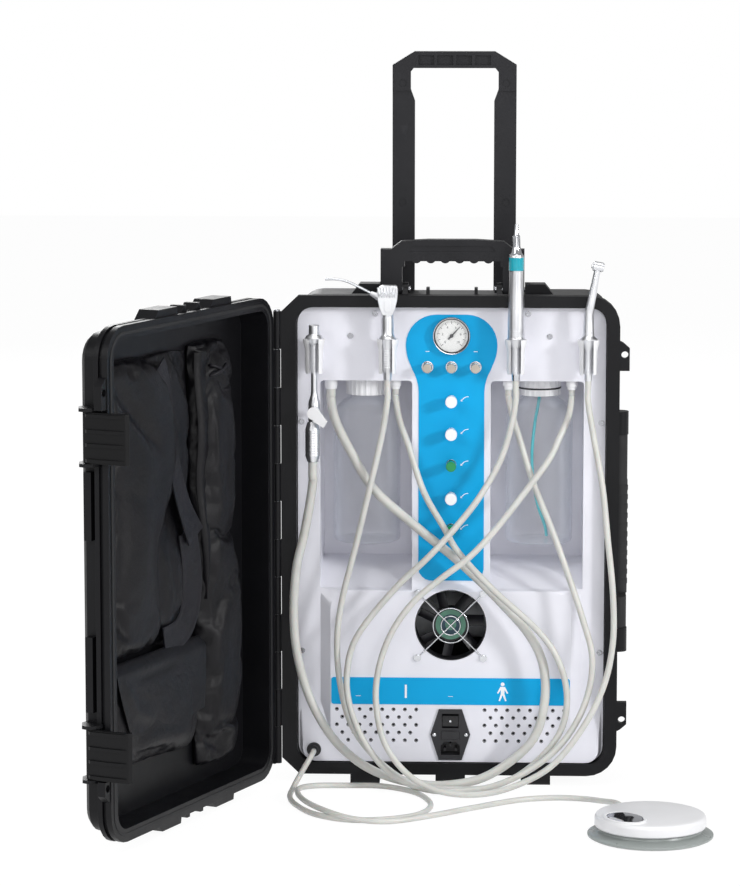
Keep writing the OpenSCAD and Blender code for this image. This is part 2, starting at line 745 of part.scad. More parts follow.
// Forked cup: a slotted ring on a short bracket, with flared tips
module holder(x) {
    difference() {
        union() {
            turned(x, holder_y, [[8.2, 523], [10.6, 523], [10.9, 540], [11.2, 554],
                [13.4, seat_z - 4], [13.4, seat_z], [10.2, seat_z], [8.2, seat_z - 4]]);
            box([x - 5, holder_y + 8.6, 530], [x + 5, panel_y - 1, 558]);
            box([x - 9, panel_y - 2.5, 524], [x + 9, panel_y, 563]);
        }
        box([x - 6.2, holder_y - 20, 500], [x + 6.2, holder_y - 2, 600]);
    }
}

module instrument_holders() {
    color([0.94, 0.94, 0.95])
        for (x = holder_x)
            holder(x);
}

// ---- inside the case -----------------------------------------------------

module compressor() {
    // Sheet steel tray on rubber feet, oil-free motor and its two heads
    color([0.55, 0.56, 0.58]) {
        box([-140, 44, 33], [140, 136, 36]);
        for (sx = [-1, 1], y = [56, 124])
            rod_z(sx * 125, y, 27, 33.1, 9);
        for (s = [-1, 1])
            box([s * 44 - 6, 62, 35.9], [s * 44 + 6, 118, 60]);
    }
    color([0.4, 0.42, 0.45]) {
        rod_x(90, 92, -58, 58, 42);
        for (s = [-1, 1]) {
            rod_x(90, 92, s > 0 ? 57.9 : -92, s > 0 ? 92 : -57.9, 36);
            box([s > 0 ? 62 : -104, 66, 100], [s > 0 ? 104 : -62, 114, 146]);
            for (k = [0:4])
                box([s > 0 ? 60 : -106, 64, 112 + k * 7], [s > 0 ? 106 : -60, 116, 115 + k * 7]);
        }
    }
}

module air_tank() {
    color([0.85, 0.86, 0.88])
        difference() {
            union() {
                translate([-128, 124, 196])
                    rotate([0, 90, 0])
                        rotate_extrude()
                            polygon([[0, 0], [14, 2], [24, 7], [30, 16], [30, 240], [24, 249],
                                [14, 254], [0, 256]]);
                for (x = [-80, 80]) {
                    box([x - 10, 120, 160], [x + 10, 157, 172]);
                    box([x - 10, 150, 165], [x + 10, 157, 196]);
                }
                rod_z(0, 124, 225, 238, 7);
            }
            rod_z(0, 124, 232, 240, 4);
        }
}

module valve_manifold() {
    color([0.72, 0.73, 0.75])
        difference() {
            union() {
                box([-30, 24, 312], [30, 48, 500]);
                box([-40, 24, 515], [40, 40, 542]);
                for (z = [312, 488])
                    box([-44, panel_y + panel_t, z], [-30, 30, z + 12]);
            }
            for (z = knob_z)
                rod_y(14, z - 12, 30, 49, 3.5);
        }
}

module trolley_guides() {
    color([0.2, 0.2, 0.22])
        for (s = [-1, 1])
            difference() {
                union() {
                    box([s * 64.8 - 17.6, 162, 40], [s * 64.8 + 17.6, 186, 600]);
                    box([s * 64.8 - 20, 162, 588], [s * 64.8 + 20, 188.5, 606]);
                }
                box([s * 64.8 - 14.6, trolley_y0 - 0.4, 46], [s * 64.8 + 14.6, trolley_y1 + 0.4, 640]);
            }
}

// ---- handles and wheels --------------------------------------------------

module trolley_handle() {
    top = 659 + trolley_out;
    color([0.16, 0.16, 0.17])
        difference() {
            union() {
                plate_y([[-79, top - 50], [-79, top - 17], [-51.5, top], [51.5, top],
                    [79, top - 17], [79, top - 50]], 166, 184);
                for (s = [-1, 1])
                    box([s * 64.8 - 14.2, trolley_y0, top - 584],
                        [s * 64.8 + 14.2, trolley_y1, top - 49]);
            }
            // Opening under the grip, widest just below it
            plate_y([[-48, top - 70], [-56, top - 48], [-56, top - 26], [-52, top - 21],
                [52, top - 21], [56, top - 26], [56, top - 48], [48, top - 70]], 160, 190);
            // Pockets of the ribbed grip, and the round screw seats of the legs
            for (x = [-36, -12, 12, 36])
                for (y = [160, 180])
                    box([x - 10, y, top - 17], [x + 10, y + 10, top - 5]);
            for (s = [-1, 1]) {
                rod_y(s * 66, top - 40, 165, 167.2, 5);
                rod_y(s * 66, top - 40, 182.8, 185, 5);
                rod_y(s * 66, top - 192, 165, 169.2, 5);
                rod_y(s * 66, top - 192, 180.8, 185, 5);
            }
        }
}

module carry_handle() {
    color([0.13, 0.13, 0.14])
        difference() {
            union() {
                for (s = [-1, 1])
                    bar_x(concat(arc(arm_y, arm_z, 9, 180, 360, 8), [[arm_y + 9, 672],
                        [arm_y - 9, 672]]), s > 0 ? 63 : -90, s > 0 ? 90 : -63);
                plate_y([[-90, 650], [-90, 662], [-64, 682], [-30, 684], [30, 684], [64, 682],
                    [90, 662], [90, 650], [60, 650], [60, 657], [-60, 657], [-60, 650]],
                    arm_y - 9, arm_y + 9);
                for (x = [-45:18:45])
                    rod_y(x, 661, arm_y - 9.4, arm_y + 9.4, 6.6);
            }
            rod_x(arm_y, arm_z, -95, -60, 3.05);
            rod_x(arm_y, arm_z, 60, 95, 3.05);
            plate_y([[-54, 669], [-50, 676], [50, 676], [54, 669]], arm_y - 10, arm_y - 7.5);
        }
}

module side_handle() {
    // Swinging bail with a rubber grip; its two stub pins turn in the barrels
    color([0.14, 0.14, 0.15]) {
        for (z = [[193.6, 233], [377, 439.4]])
            union() {
                rod_z(210, 55, z[0], z[1], 10.5);
                box([200.5, 55, z[0]], [221, 92, z[1]]);
            }
        rod_z(210, 55, 170, 194, 4);
        rod_z(210, 55, 439, 462, 4);
        rod_z(211.5, 88, 225, 385, 9);
    }
    color([0.22, 0.22, 0.24]) {
        rod_z(211.5, 88, 232, 377.5, 11);
        for (z = [244:12:364])
            rod_z(211.5, 88, z, z + 6, 11.6);
    }
}

module wheel(s) {
    translate([s * wheel_x, wheel_y, wheel_r])
        rotate([0, 90, 0])
            rotate_extrude()
                polygon([[4.05, -11], [12, -11], [12, -8], [19, -8], [19, -12],
                    [wheel_r - 2, -12], [wheel_r, -10], [wheel_r, -2.5], [wheel_r - 1.5, -1.5],
                    [wheel_r - 1.5, 1.5], [wheel_r, 2.5], [wheel_r, 10], [wheel_r - 2, 12],
                    [19, 12], [19, 8], [12, 8], [12, 12.5], [4.05, 12.5]]);
}

module wheel_left() {
    color([0.06, 0.06, 0.06]) wheel(-1);
}

module wheel_right() {
    color([0.06, 0.06, 0.06]) wheel(1);
}

// ---- the lid -------------------------------------------------------------

// Guard rib that stands beside a latch, as a plate level with the floor
module guard_rib(z) {
    translate([0, 0, z - 2])
        linear_extrude(4)
            polygon([[412, -38], [424, -39], [440, -30], [442, -22], [436, -14], [424, -10],
                [412, -10]]);
}

module lid_shell() {
    xa = 8;
    xb = 8 + case_w;
    color([0.09, 0.09, 0.1])
        lid_place()
            difference() {
                union() {
                    for (s = [[-7, 0], [-18, -12]])
                        plate_y(rrect(xa, z0, xb, z1, rim_r), s[0], s[1]);
                    plate_y(rrect(xa + 3.5, z0 + 3.5, xb - 3.5, z1 - 3.5, rim_r - 3.5), -13, 0);
                    plate_y(rrect(xa + 11, z0 + 10, xb - 11, z1 - 9, 30), -lid_d + 6, -11);
                    hull() {
                        plate_y(rrect(xa + 11, z0 + 10, xb - 11, z1 - 9, 30), 5.99 - lid_d,
                            6 - lid_d);
                        plate_y(rrect(xa + 16, z0 + 15, xb - 16, z1 - 14, 26), -lid_d,
                            0.01 - lid_d);
                    }
                    knuckles(0, -1);
                    lock_tab(xb, 526, 1, 42, -11, -1);
                    lock_tab(xb, 92.5, -1, 31, -11, -1);
                    for (z = [462, 526, 92, 156])
                        guard_rib(z);
                    // Long ribs of the free edge
                    for (z = [[170, 259], [372, 452]])
                        box([410, -34, z[0]], [424, -24, z[1]]);
                    // Rest blocks and fins, the same above and below
                    for (m = [0, 1])
                        translate([0, 0, m * (z0 + z1)]) mirror([0, 0, m]) {
                            for (u = [[246, 308], [110, 172]])
                                plate_y([[u[0], 25], [u[0] + 4, 3], [u[1] - 12, 3], [u[1], 14],
                                    [u[1], 25]], -30, -4);
                            for (u = [184, 218])
                                plate_y([[u, 25], [u + 2, 4], [u + 9, 4], [u + 20, 14],
                                    [u + 20, 25]], -26, -8);
                        }
                    // Ribs pressed into the back
                    for (z = [90, 180, 270, 360, 450, 540])
                        box([60, -lid_d - 3, z - 8], [374, 2 - lid_d, z + 8]);
                }
                plate_y(rrect(xa + 16, 28, xb - 16, 603, 22), 4 - lid_d, 1);
                rod_z(0, 0, 20, 605, 2.05);
                for (z = lock_z)
                    rod_y(xb + 6, z, -12, 0, 4.4);
                // Seat of the seal, round the mouth
                difference() {
                    plate_y(rrect(xa + 7, z0 + 7, xb - 7, z1 - 7, 31), -2.5, 1);
                    plate_y(rrect(xa + 11, z0 + 11, xb - 11, z1 - 11, 27), -3, 2);
                }
                // Pivot bores of the two latches
                rod_z(428, -22, 84, 164, 2.05);
                rod_z(428, -22, 454, 534, 2.05);
            }
}

module lid_gasket() {
    xb = 8 + case_w;
    color([0.04, 0.04, 0.04])
        lid_place()
            difference() {
                plate_y(rrect(15, z0 + 7, xb - 7, z1 - 7, 31), -2.5, 0.6);
                plate_y(rrect(19, z0 + 11, xb - 11, z1 - 11, 27), -3, 2);
            }
}

// Draw latch: a flat lever on a pin between its guard ribs
module latch(z) {
    color([0.1, 0.1, 0.11])
        lid_place() {
            rod_z(428, -22, z - 33.5, z + 33.5, 2);
            translate([0, 0, z - 29.5])
                linear_extrude(59)
                    polygon([[428, -26.5], [437, -26], [439, 0], [438, 30], [433, 32.5],
                        [428.5, 30], [432, 27], [434, 10], [432, -6], [428, -17.5]]);
            for (dz = [-28, -10, 6, 24])
                translate([0, 0, z + dz])
                    linear_extrude(4)
                        polygon([[437, -24], [440, -20], [441.5, 0], [440.5, 24], [437.5, 29]]);
        }
}

module latch_upper() {
    latch(494);
}

module latch_lower() {
    latch(124);
}

// Soft bag lying on the lid's back, its front edge drawn in
module soft_bag(ua, ub, za, zb, thick, inset) {
    back = 4 - lid_d;
    lid_place()
        union() {
            plate_y(rrect(ua, za, ub, zb, 14, 3), back, back + thick * 0.55);
            hull() {
                plate_y(rrect(ua, za, ub, zb, 14, 3), back + thick * 0.55 - 0.01,
                    back + thick * 0.55);
                plate_y(rrect(ua + inset, za + inset, ub - inset, zb - inset, 14, 3),
                    back + thick - 0.01, back + thick);
            }
        }
}

module strap_bag() {
    color([0.1, 0.1, 0.11]) soft_bag(172, 398, 222, 584, 27, 12);
}

module rolled_bag() {
    color([0.11, 0.11, 0.12]) soft_bag(64, 164, 48, 575, 32, 14);
}

module pouch() {
    color([0.1, 0.1, 0.11]) soft_bag(172, 396, 92, 218, 33, 10);
}

// ---- instruments ---------------------------------------------------------

module suction_handpiece() {
    x = holder_x[0];
    color([0.85, 0.86, 0.88]) {
        difference() {
            turned(x, holder_y, [[0, 462], [7, 462], [7.5, 466], [7.5, 484], [5, 494], [4, 500],
                [3.8, 556], [5, 559], [7.6, seat_z - 4.6], [9.2, seat_z - 0.6], [9.2, seat_z],
                [11.2, seat_z], [11.2, seat_z + 2.4], [9.4, seat_z + 4], [6.6, seat_z + 6], [6.6, seat_z + 17], [0, seat_z + 17]]);
            rod_z(x, holder_y, seat_z + 2, seat_z + 20, 5);
            rod_y(x, 474, holder_y - 12, holder_y + 12, 4.05);
        }
        turned(x - 2, holder_y, [[0, 412], [6.6, 412], [8, 416], [9.3, 420], [9.3, 452],
            [7.6, 458], [6, 463], [0, 463]]);
    }
}

// Valve lever that swings on its spindle across the suction handpiece
module suction_lever() {
    x = holder_x[0];
    color([0.95, 0.95, 0.95]) {
        rod_y(x, 474, holder_y - 13, holder_y + 13, 4);
        rod_y(x, 474, holder_y - 13, holder_y - 8.2, 8);
        plate_y([[x - 5, 480], [x + 4, 481], [x + 17, 464], [x + 12, 456], [x, 464]],
            holder_y - 13, holder_y - 8.2);
    }
}

module syringe() {
    x = holder_x[1];
    y = holder_y;
    color([0.82, 0.83, 0.85]) {
        difference() {
            union() {
                turned(x, y, [[0, 515], [5, 515], [5.2, 524], [6.6, 528], [6.8, 556],
                    [7.6, seat_z - 4.6], [9.2, seat_z - 0.6], [9.2, seat_z], [11.2, seat_z],
                    [11.2, seat_z + 1.6], [9.4, seat_z + 3], [7.6, seat_z + 6],
                    [7.4, 600], [0, 600]]);
                // Valve head with its finger rest
                plate_y([[x - 6.5, 596], [x - 12, 614], [x - 13, 626], [x - 7, 633],
                    [x + 10, 633], [x + 13, 627], [x + 12, 614], [x + 6.5, 596]], y - 7.5, y + 7.5);
            }
            for (s = [-1, 1])
                rod_y(x + s * 5.5, 622, y - 9, y - 2, 3.3);
        }
        // Bent spray nozzle
        hose([[x - 10, y, 618], [x - 18, y, 622], [x - 36, y, 631], [x - 52, y, 638.5],
            [x - 64, y, 640.5], [x - 77, y, 640]], 1.7, 2, [0, 1, 0]);
        translate([x - 10, y, 618])
            rotate([0, -65, 0])
                cylinder(h = 12, r1 = 4.6, r2 = 2.8);
    }
}

module syringe_button(s) {
    x = holder_x[1] + s * 5.5;
    rod_y(x, 622, holder_y - 10.5, holder_y - 5, 3.2);
    rod_y(x, 622, holder_y - 11.2, holder_y - 10.4, 2.5);
}

module syringe_air_button() {
    color([0.3, 0.55, 0.8]) syringe_button(-1);
}

module syringe_water_button() {
    color([0.3, 0.7, 0.4]) syringe_button(1);
}

module low_speed_handpiece() {
    x = holder_x[2];
    color([0.8, 0.81, 0.83])
        turned(x, holder_y, [[0, 515], [5, 515], [5.4, 522], [5.4, 556], [6.4, 557],
            [7.6, seat_z - 4.6], [9.2, seat_z - 0.6], [9.2, seat_z], [11.2, seat_z],
            [11.2, seat_z + 1.5], [10.3, seat_z + 2.5], [10.4, 580], [10.2, 606], [8.8, 632],
            [8.6, 650], [9.3, 652], [9.3, 668], [8.4, 671], [6.4, 674], [4.8, 682],
            [4.6, 694], [3, 696], [2.2, 708], [0, 709]]);
}

module high_speed_handpiece() {
    x = holder_x[3];
    y = holder_y;
    color([0.8, 0.81, 0.83]) {
        turned(x, y, [[0, 515], [4.4, 515], [4.8, 522], [4.8, 553], [6, 556],
            [7.6, seat_z - 4.6], [9.2, seat_z - 0.6], [9.2, seat_z], [11.2, seat_z],
            [11.2, seat_z + 1.6], [9.2, seat_z + 2.6], [6.8, seat_z + 5],
            [6.5, 580], [5.6, 602], [0, 602]]);
        // Contra-angled neck and the head with its bur collar
        translate([x + 0.1, y, 598])
            rotate([0, 10.5, 0]) {
                cylinder(h = 56, r1 = 5.6, r2 = 3.9);
                translate([0, 0, 60]) {
                    rotate([0, 90, 0]) {
                        translate([0, 0, -6]) cylinder(h = 12, r = 6);
                        translate([0, 0, 5.9]) cylinder(h = 1.6, r = 5);
                        translate([0, 0, -8]) cylinder(h = 2.1, r = 3.4);
                    }
                }
            }
    }
}

module suction_hose() {
    color([0.78, 0.78, 0.76]) hose(suction_route, suction_hose_r, 2, [0, 1, 0]);
}

module syringe_hose() {
    color([0.8, 0.8, 0.78]) hose(syringe_route, hand_hose_r, 3, [0, 1, 0]);
}

module low_speed_hose() {
    color([0.8, 0.8, 0.78]) hose(low_speed_route, hand_hose_r, 2, [0, 1, 0]);
}

module high_speed_hose() {
    color([0.8, 0.8, 0.78]) hose(high_speed_route, hand_hose_r, 2, [0, 1, 0]);
}

// ---- foot control --------------------------------------------------------

module pedal_base() {
    color([0.6, 0.6, 0.6]) {
        difference() {
            turned(pedal[0], pedal[1], [[0, 0], [pedal_r - 4, 0], [pedal_r, 2], [pedal_r, 4],
                [pedal_r - 2, 5], [68, 6], [62, 9], [60, 15], [0, 15]]);
            rod_z(pedal[0], pedal[1], 4, 16, 10.05);
        }
        // Hose tail at the back, on the block that carries it
        translate([pedal[0], pedal[1], 0])
            rotate([0, 0, pedal_turn]) {
                translate([50, 0, 18])
                    rotate([0, 90, 0])
                        cylinder(h = pedal_tail - 50, r = 4.6);
                translate([48, -7, 10])
                    cube([26, 14, 12]);
            }
    }
}

module pedal_cover() {
    color([0.93, 0.93, 0.92])
        difference() {
            turned(pedal[0], pedal[1], [[0, 9], [10, 9], [10, 19.5], [63, 19.5], [63, 13],
                [65, 13], [66.5, 15], [66.5, 24], [64.6, 27], [60, 28.6], [36, 31], [0, 32]]);
            translate([pedal[0], pedal[1], 12])
                rotate([0, 0, pedal_turn])
                    translate([46, -10, 0])
                        cube([30, 20, 15.5]);
        }
}

module foot_hose() {
    color([0.78, 0.78, 0.76]) hose(foot_route, foot_hose_r, 2, [0.15, 0.1, 1]);
}

// ---- what is drawn -------------------------------------------------------

base_shell();
steel_pins();
console_panel();
panel_labels();
gauge_case();
gauge_dial();
gauge_lens();
gauge_needle();
valve_bushes();
hose_fittings();
bottle_caps();
water_pickup_tube();
fan_frame();
fan_rotor();
finger_guard();
power_inlet();
rocker_switch();
fuse_drawer();
instrument_holders();
panel_screws();
compressor();
air_tank();
valve_manifold();
trolley_guides();
trolley_handle();
carry_handle();
side_handle();
wheel_left();
wheel_right();
regulator_knob(1);  // regulator_knob_1
regulator_knob(2);  // regulator_knob_2
regulator_knob(3);  // regulator_knob_3
flow_knob(1);  // flow_knob_1
flow_knob(2);  // flow_knob_2
flow_knob(3);  // flow_knob_3
flow_knob(4);  // flow_knob_4
flow_knob(5);  // flow_knob_5
waste_bottle();
water_bottle();
lid_shell();
lid_gasket();
strap_bag();
rolled_bag();
pouch();
latch_upper();
latch_lower();
suction_handpiece();
suction_lever();
syringe();
syringe_air_button();
syringe_water_button();
low_speed_handpiece();
high_speed_handpiece();
suction_hose();
syringe_hose();
low_speed_hose();
high_speed_hose();
pedal_base();
pedal_cover();
foot_hose();
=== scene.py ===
"""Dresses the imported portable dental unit: its finishes, hoses, soft goods and stage.

Metres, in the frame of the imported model. The file is laid out as an add-on and is run as a script.
"""

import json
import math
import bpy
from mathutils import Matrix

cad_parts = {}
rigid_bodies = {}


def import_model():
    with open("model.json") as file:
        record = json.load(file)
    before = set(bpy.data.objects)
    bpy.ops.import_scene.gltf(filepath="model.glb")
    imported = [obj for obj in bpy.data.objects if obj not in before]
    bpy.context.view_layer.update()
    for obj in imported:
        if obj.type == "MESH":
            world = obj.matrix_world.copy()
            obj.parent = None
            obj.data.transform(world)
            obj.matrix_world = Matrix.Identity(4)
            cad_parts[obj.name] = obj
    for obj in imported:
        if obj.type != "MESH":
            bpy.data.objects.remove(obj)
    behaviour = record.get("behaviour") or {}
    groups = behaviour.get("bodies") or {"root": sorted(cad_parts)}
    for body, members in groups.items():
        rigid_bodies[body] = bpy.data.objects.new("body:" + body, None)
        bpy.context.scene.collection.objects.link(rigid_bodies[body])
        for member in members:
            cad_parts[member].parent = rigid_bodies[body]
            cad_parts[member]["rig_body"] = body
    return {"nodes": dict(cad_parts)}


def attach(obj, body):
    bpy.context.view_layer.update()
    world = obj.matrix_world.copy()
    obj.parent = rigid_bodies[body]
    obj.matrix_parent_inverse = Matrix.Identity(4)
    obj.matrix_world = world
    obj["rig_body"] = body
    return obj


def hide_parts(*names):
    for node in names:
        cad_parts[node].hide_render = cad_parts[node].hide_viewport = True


bl_info = {
    "name": "Portable Dental Unit",
    "version": (1, 0, 0),
    "blender": (4, 5, 0),
    "location": "View3D > Sidebar > Dental Unit",
    "description": "Builds the looks of a portable dental unit around its packed model",
    "category": "Object",
}

import bmesh
import bpy
from mathutils import Matrix, Vector

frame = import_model()
NODES = frame["nodes"]
SLOTS = {name: node.material_slots[0].material.name for name, node in NODES.items()}
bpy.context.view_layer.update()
MM = 0.001

# The open lid: its hinge in metres, its turn, and its own frame
HINGE = Vector((-0.217, 0, 0))
LID_TURN = math.radians(-113.3)
LID = Matrix.Translation(HINGE) @ Matrix.Rotation(LID_TURN, 4, "Z")

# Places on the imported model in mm, with X to the right, Y to the back and Z up
TRAY_BACK = -38  # Y of the back of the lid's tray, in the lid's frame
HOLDER_X = (-170, -79, 80, 169.5)
HOLDER_Y = -12
KNOB_Z = (487, 446, 406, 365, 325)
GAUGE_Z = 568
FAN_Z = 203
INLET_Z = 63.5
PANEL_Y = 14  # front of the console between the bays
FACE_Y = 4  # front of its raised lower block
LABEL_Y = 13.05  # prints on the blue label, and on the blue band
BAND_Y = 3.06
BOTTLE_X = (-107, 110)
BOTTLE_Y = 62
PEDAL = (243, -258)
PEDAL_TURN = math.radians(112.5)

# How edges are rounded and how thick a print is
SHARP = math.radians(30)
WIDE_ENOUGH = 1.6  # width of a face in radii of the rounding at its edge
INK = 0.12


# ---- sizes and colours that a user would change ---------------------------------------


def srgb(red, green, blue):
    """Linear colour of an sRGB triple from 0 to 255."""
    return tuple(
        (c / 12.92 if c <= 0.04045 else ((c + 0.055) / 1.055) ** 2.4)
        for c in (red / 255, green / 255, blue / 255)
    )


def tint(name, description, red, green, blue):
    return bpy.props.FloatVectorProperty(
        name=name, description=description, subtype="COLOR", size=3, min=0, max=1,
        default=srgb(red, green, blue))


def length(name, description, default):
    return bpy.props.FloatProperty(
        name=name, description=description, default=default, min=0, unit="LENGTH",
        subtype="DISTANCE", precision=4)


class DentalUnitColours(bpy.types.PropertyGroup):
    """Colours of the unit's finishes."""

    case: tint("Case", "Ribbed hard case and its lid", 16, 16, 19)
    panel: tint("Console", "Moulded white console", 233, 233, 241)
    label: tint("Label", "Blue film on the console", 0, 163, 221)
    hose: tint("Hoses", "Soft silicone of the five hoses", 206, 206, 201)
    fabric: tint("Bags", "Woven cloth of the bags in the lid", 13, 12, 16)
    ring: tint("Ring", "Coloured ring of the low-speed handpiece", 0, 160, 178)
    knob: tint("Green knobs", "The two green flow knobs", 0, 142, 76)
    siphon: tint("Siphon tube", "Pick-up tube of the water bottle", 70, 196, 206)


class DentalUnitSizes(bpy.types.PropertyGroup):
    """Sizes of what is modelled here."""

    suction_hose: length("Suction hose", "Outer diameter of the suction hose", 0.0115)
    hand_hose: length("Handpiece hoses", "Outer diameter of the three handpiece hoses", 0.008)
    foot_hose: length("Foot hose", "Outer diameter of the foot control's hose", 0.007)
    case_edge: length("Case edges", "Rounding of the case's edges", 0.0016)
    bay_edge: length("Bay edges", "Rounding of the edges of the bottle bays", 0.0045)
    strap_width: length("Strap", "Width of the webbing of the strap bag", 0.036)


def colours():
    return bpy.context.scene.dental_unit_colours


def sizes():
    return bpy.context.scene.dental_unit_sizes


# ---- finishes -------------------------------------------------------------------------


class Value:
    """A socket of a finish's nodes, which takes part in Python's arithmetic."""

    def __init__(self, finish, socket):
        self.finish, self.socket = finish, socket

    def maths(self, operation, *terms):
        return self.finish.node("ShaderNodeMath", {"operation": operation}, terms)

    def __add__(self, other):
        return self.maths("ADD", self, other)

    __radd__ = __add__

    def __sub__(self, other):
        return self.maths("SUBTRACT", self, other)

    def __rsub__(self, other):
        return self.maths("SUBTRACT", other, self)

    def __mul__(self, other):
        return self.maths("MULTIPLY", self, other)

    __rmul__ = __mul__

    def __pow__(self, other):
        return self.maths("POWER", self, other)

    def __rpow__(self, other):
        return self.maths("POWER", other, self)

    def between(self, low, high):
        """0 up to low, 1 from high, smooth in between."""
        return self.finish.node(
            "ShaderNodeMapRange", {"interpolation_type": "SMOOTHSTEP"},
            {"Value": self, "From Min": low, "From Max": high, "To Min": 0, "To Max": 1})


class Finish:
    """A procedural material: fixed values on the shader, and what varies over the surface."""

    def __init__(self, name, colour, roughness, **fixed):
        self.material = bpy.data.materials.new(name)
        self.material.use_nodes = True
        self.tree = self.material.node_tree
        self.shader = self.tree.nodes["Principled BSDF"]
        self.material.diffuse_color = (*colour, 1)
        self.colour = (*colour, 1)
        self.set("Base Color", self.colour)
        self.set("Roughness", roughness)
        for socket, value in fixed.items():
            self.set(socket.replace("_", " ").title().replace("Ior", "IOR"), value)

    def set(self, name, value):
        """Puts a value or a link on one of the shader's sockets."""
        socket = self.shader.inputs[name]
        if isinstance(value, Value):
            self.tree.links.new(value.socket, socket)
        else:
            socket.default_value = value

    def node(self, kind, settings=None, inputs=(), output=0):
        """Adds a node, sets its settings and then its inputs, and returns an output."""
        node = self.tree.nodes.new(kind)
        for name, value in (settings or {}).items():
            setattr(node, name, value)
        pairs = inputs.items() if isinstance(inputs, dict) else enumerate(inputs)
        for key, value in pairs:
            if isinstance(value, Value):
                self.tree.links.new(value.socket, node.inputs[key])
            else:
                node.inputs[key].default_value = value
        return Value(self, node.outputs[output])

    def place(self, turn=(0, 0, 0), scale=(1, 1, 1)):
        """Object coordinates, turned and scaled."""
        raw = self.node("ShaderNodeTexCoord", output="Object")
        return self.node("ShaderNodeMapping", {}, {
            "Vector": raw, "Rotation": turn, "Scale": scale})

    def noise(self, scale, detail=2.0, roughness=0.5, at=None):
        return self.node("ShaderNodeTexNoise", {}, {
            "Vector": at or self.place(), "Scale": scale, "Detail": detail,
            "Roughness": roughness})

    def wave(self, scale, at, direction):
        return self.node("ShaderNodeTexWave", {
            "wave_type": "BANDS", "bands_direction": direction, "wave_profile": "SIN"},
            {"Vector": at, "Scale": scale, "Detail": 0.0}, 1)

    def blend(self, share, first, second):
        """Mix of two colours, whose sockets are the node's inputs 6 and 7."""
        return self.node("ShaderNodeMix", {"data_type": "RGBA"},
                         {0: share, 6: first, 7: second}, 2)

    def shade(self, factor):
        """The finish's colour, darker or lighter by a factor."""
        return (*(min(1, c * factor) for c in self.colour[:3]), 1)

    def mottled(self, scale, detail, dark, light):
        """The finish's colour in soft patches of two shades."""
        patches = self.noise(scale, detail).between(0.3, 0.7)
        return self.blend(patches, self.shade(dark), self.shade(light))

    def bump(self, height, distance, strength=1.0, below=None):
        inputs = {"Height": height, "Distance": distance, "Strength": strength}
        if below is not None:
            inputs["Normal"] = below
        return self.node("ShaderNodeBump", {}, inputs)


def moulded(name, colour, roughness, grain, depth, spread=0.12, **fixed):
    """Moulded plastic: fine grain, patchy sheen and a slightly uneven colour."""
    f = Finish(name, colour, roughness, **fixed)
    patches = f.noise(14, 3).between(0.35, 0.65)
    f.set("Base Color", f.blend(patches, f.shade(1 - spread), f.shade(1 + spread)))
    f.set("Roughness", f.noise(55, 4) * 0.16 + (roughness - 0.08))
    f.set("Normal", f.bump(f.noise(grain, 2, 0.6), depth))
    return f.material


def case_finish(name, colour, roughness=0.39):
    """Charcoal case plastic: pebbled grain, faint scuffs and dust."""
    f = Finish(name, colour, roughness, specular_ior_level=0.22)
    scuffs = f.noise(30, 5, 0.7, f.place(turn=(0.2, 0.1, 0.4), scale=(1, 6, 1)))
    worn = scuffs.between(0.60, 0.72) * 0.5
    f.set("Base Color", f.blend(worn, f.mottled(9, 4, 0.86, 1.14), f.shade(1.75)))
    f.set("Roughness", f.noise(40, 4) * 0.18 + (roughness - 0.08))
    pebbles = f.node("ShaderNodeTexVoronoi", {"feature": "SMOOTH_F1"},
                     {"Vector": f.place(), "Scale": 900.0, "Smoothness": 0.6})
    f.set("Normal", f.bump(pebbles + f.noise(1800, 1) * 0.4, 0.00012, 0.55))
    return f.material


def film_finish(name, colour):
    """Printed polyester film with a fine satin surface."""
    f = Finish(name, colour, 0.42, specular_ior_level=0.2)
    f.set("Base Color", f.mottled(7, 2, 0.95, 1.06))
    f.set("Roughness", f.noise(120, 3) * 0.1 + 0.4)
    f.set("Normal", f.bump(f.noise(2600, 1), 0.00002))
    return f.material


def metal_finish(name, colour, roughness, lines=900.0, along="Z"):
    """Turned or brushed metal, with fine lines across one axis."""
    f = Finish(name, colour, roughness, metallic=1.0)
    stretch = {"X": (1, 0.02, 0.02), "Y": (0.02, 1, 0.02), "Z": (0.02, 0.02, 1)}[along]
    brushed = f.noise(lines, 3, 0.6, f.place(scale=stretch))
    f.set("Base Color", f.mottled(24, 3, 0.9, 1.1))
    f.set("Roughness", brushed * 0.14 + (roughness - 0.07))
    f.set("Normal", f.bump(brushed, 0.00002))
    return f.material


def hose_finish(name, colour):
    """Soft silicone hose: milky, with dusty streaks and a fine skin."""
    f = Finish(name, colour, 0.36, subsurface_weight=0.12, subsurface_scale=0.004,
               coat_weight=0.12, coat_roughness=0.25)
    f.set("Base Color", f.mottled(30, 3, 0.94, 1.05))
    f.set("Roughness", f.noise(160, 3) * 0.16 + 0.3)
    f.set("Normal", f.bump(f.noise(700, 2), 0.00005))
    return f.material


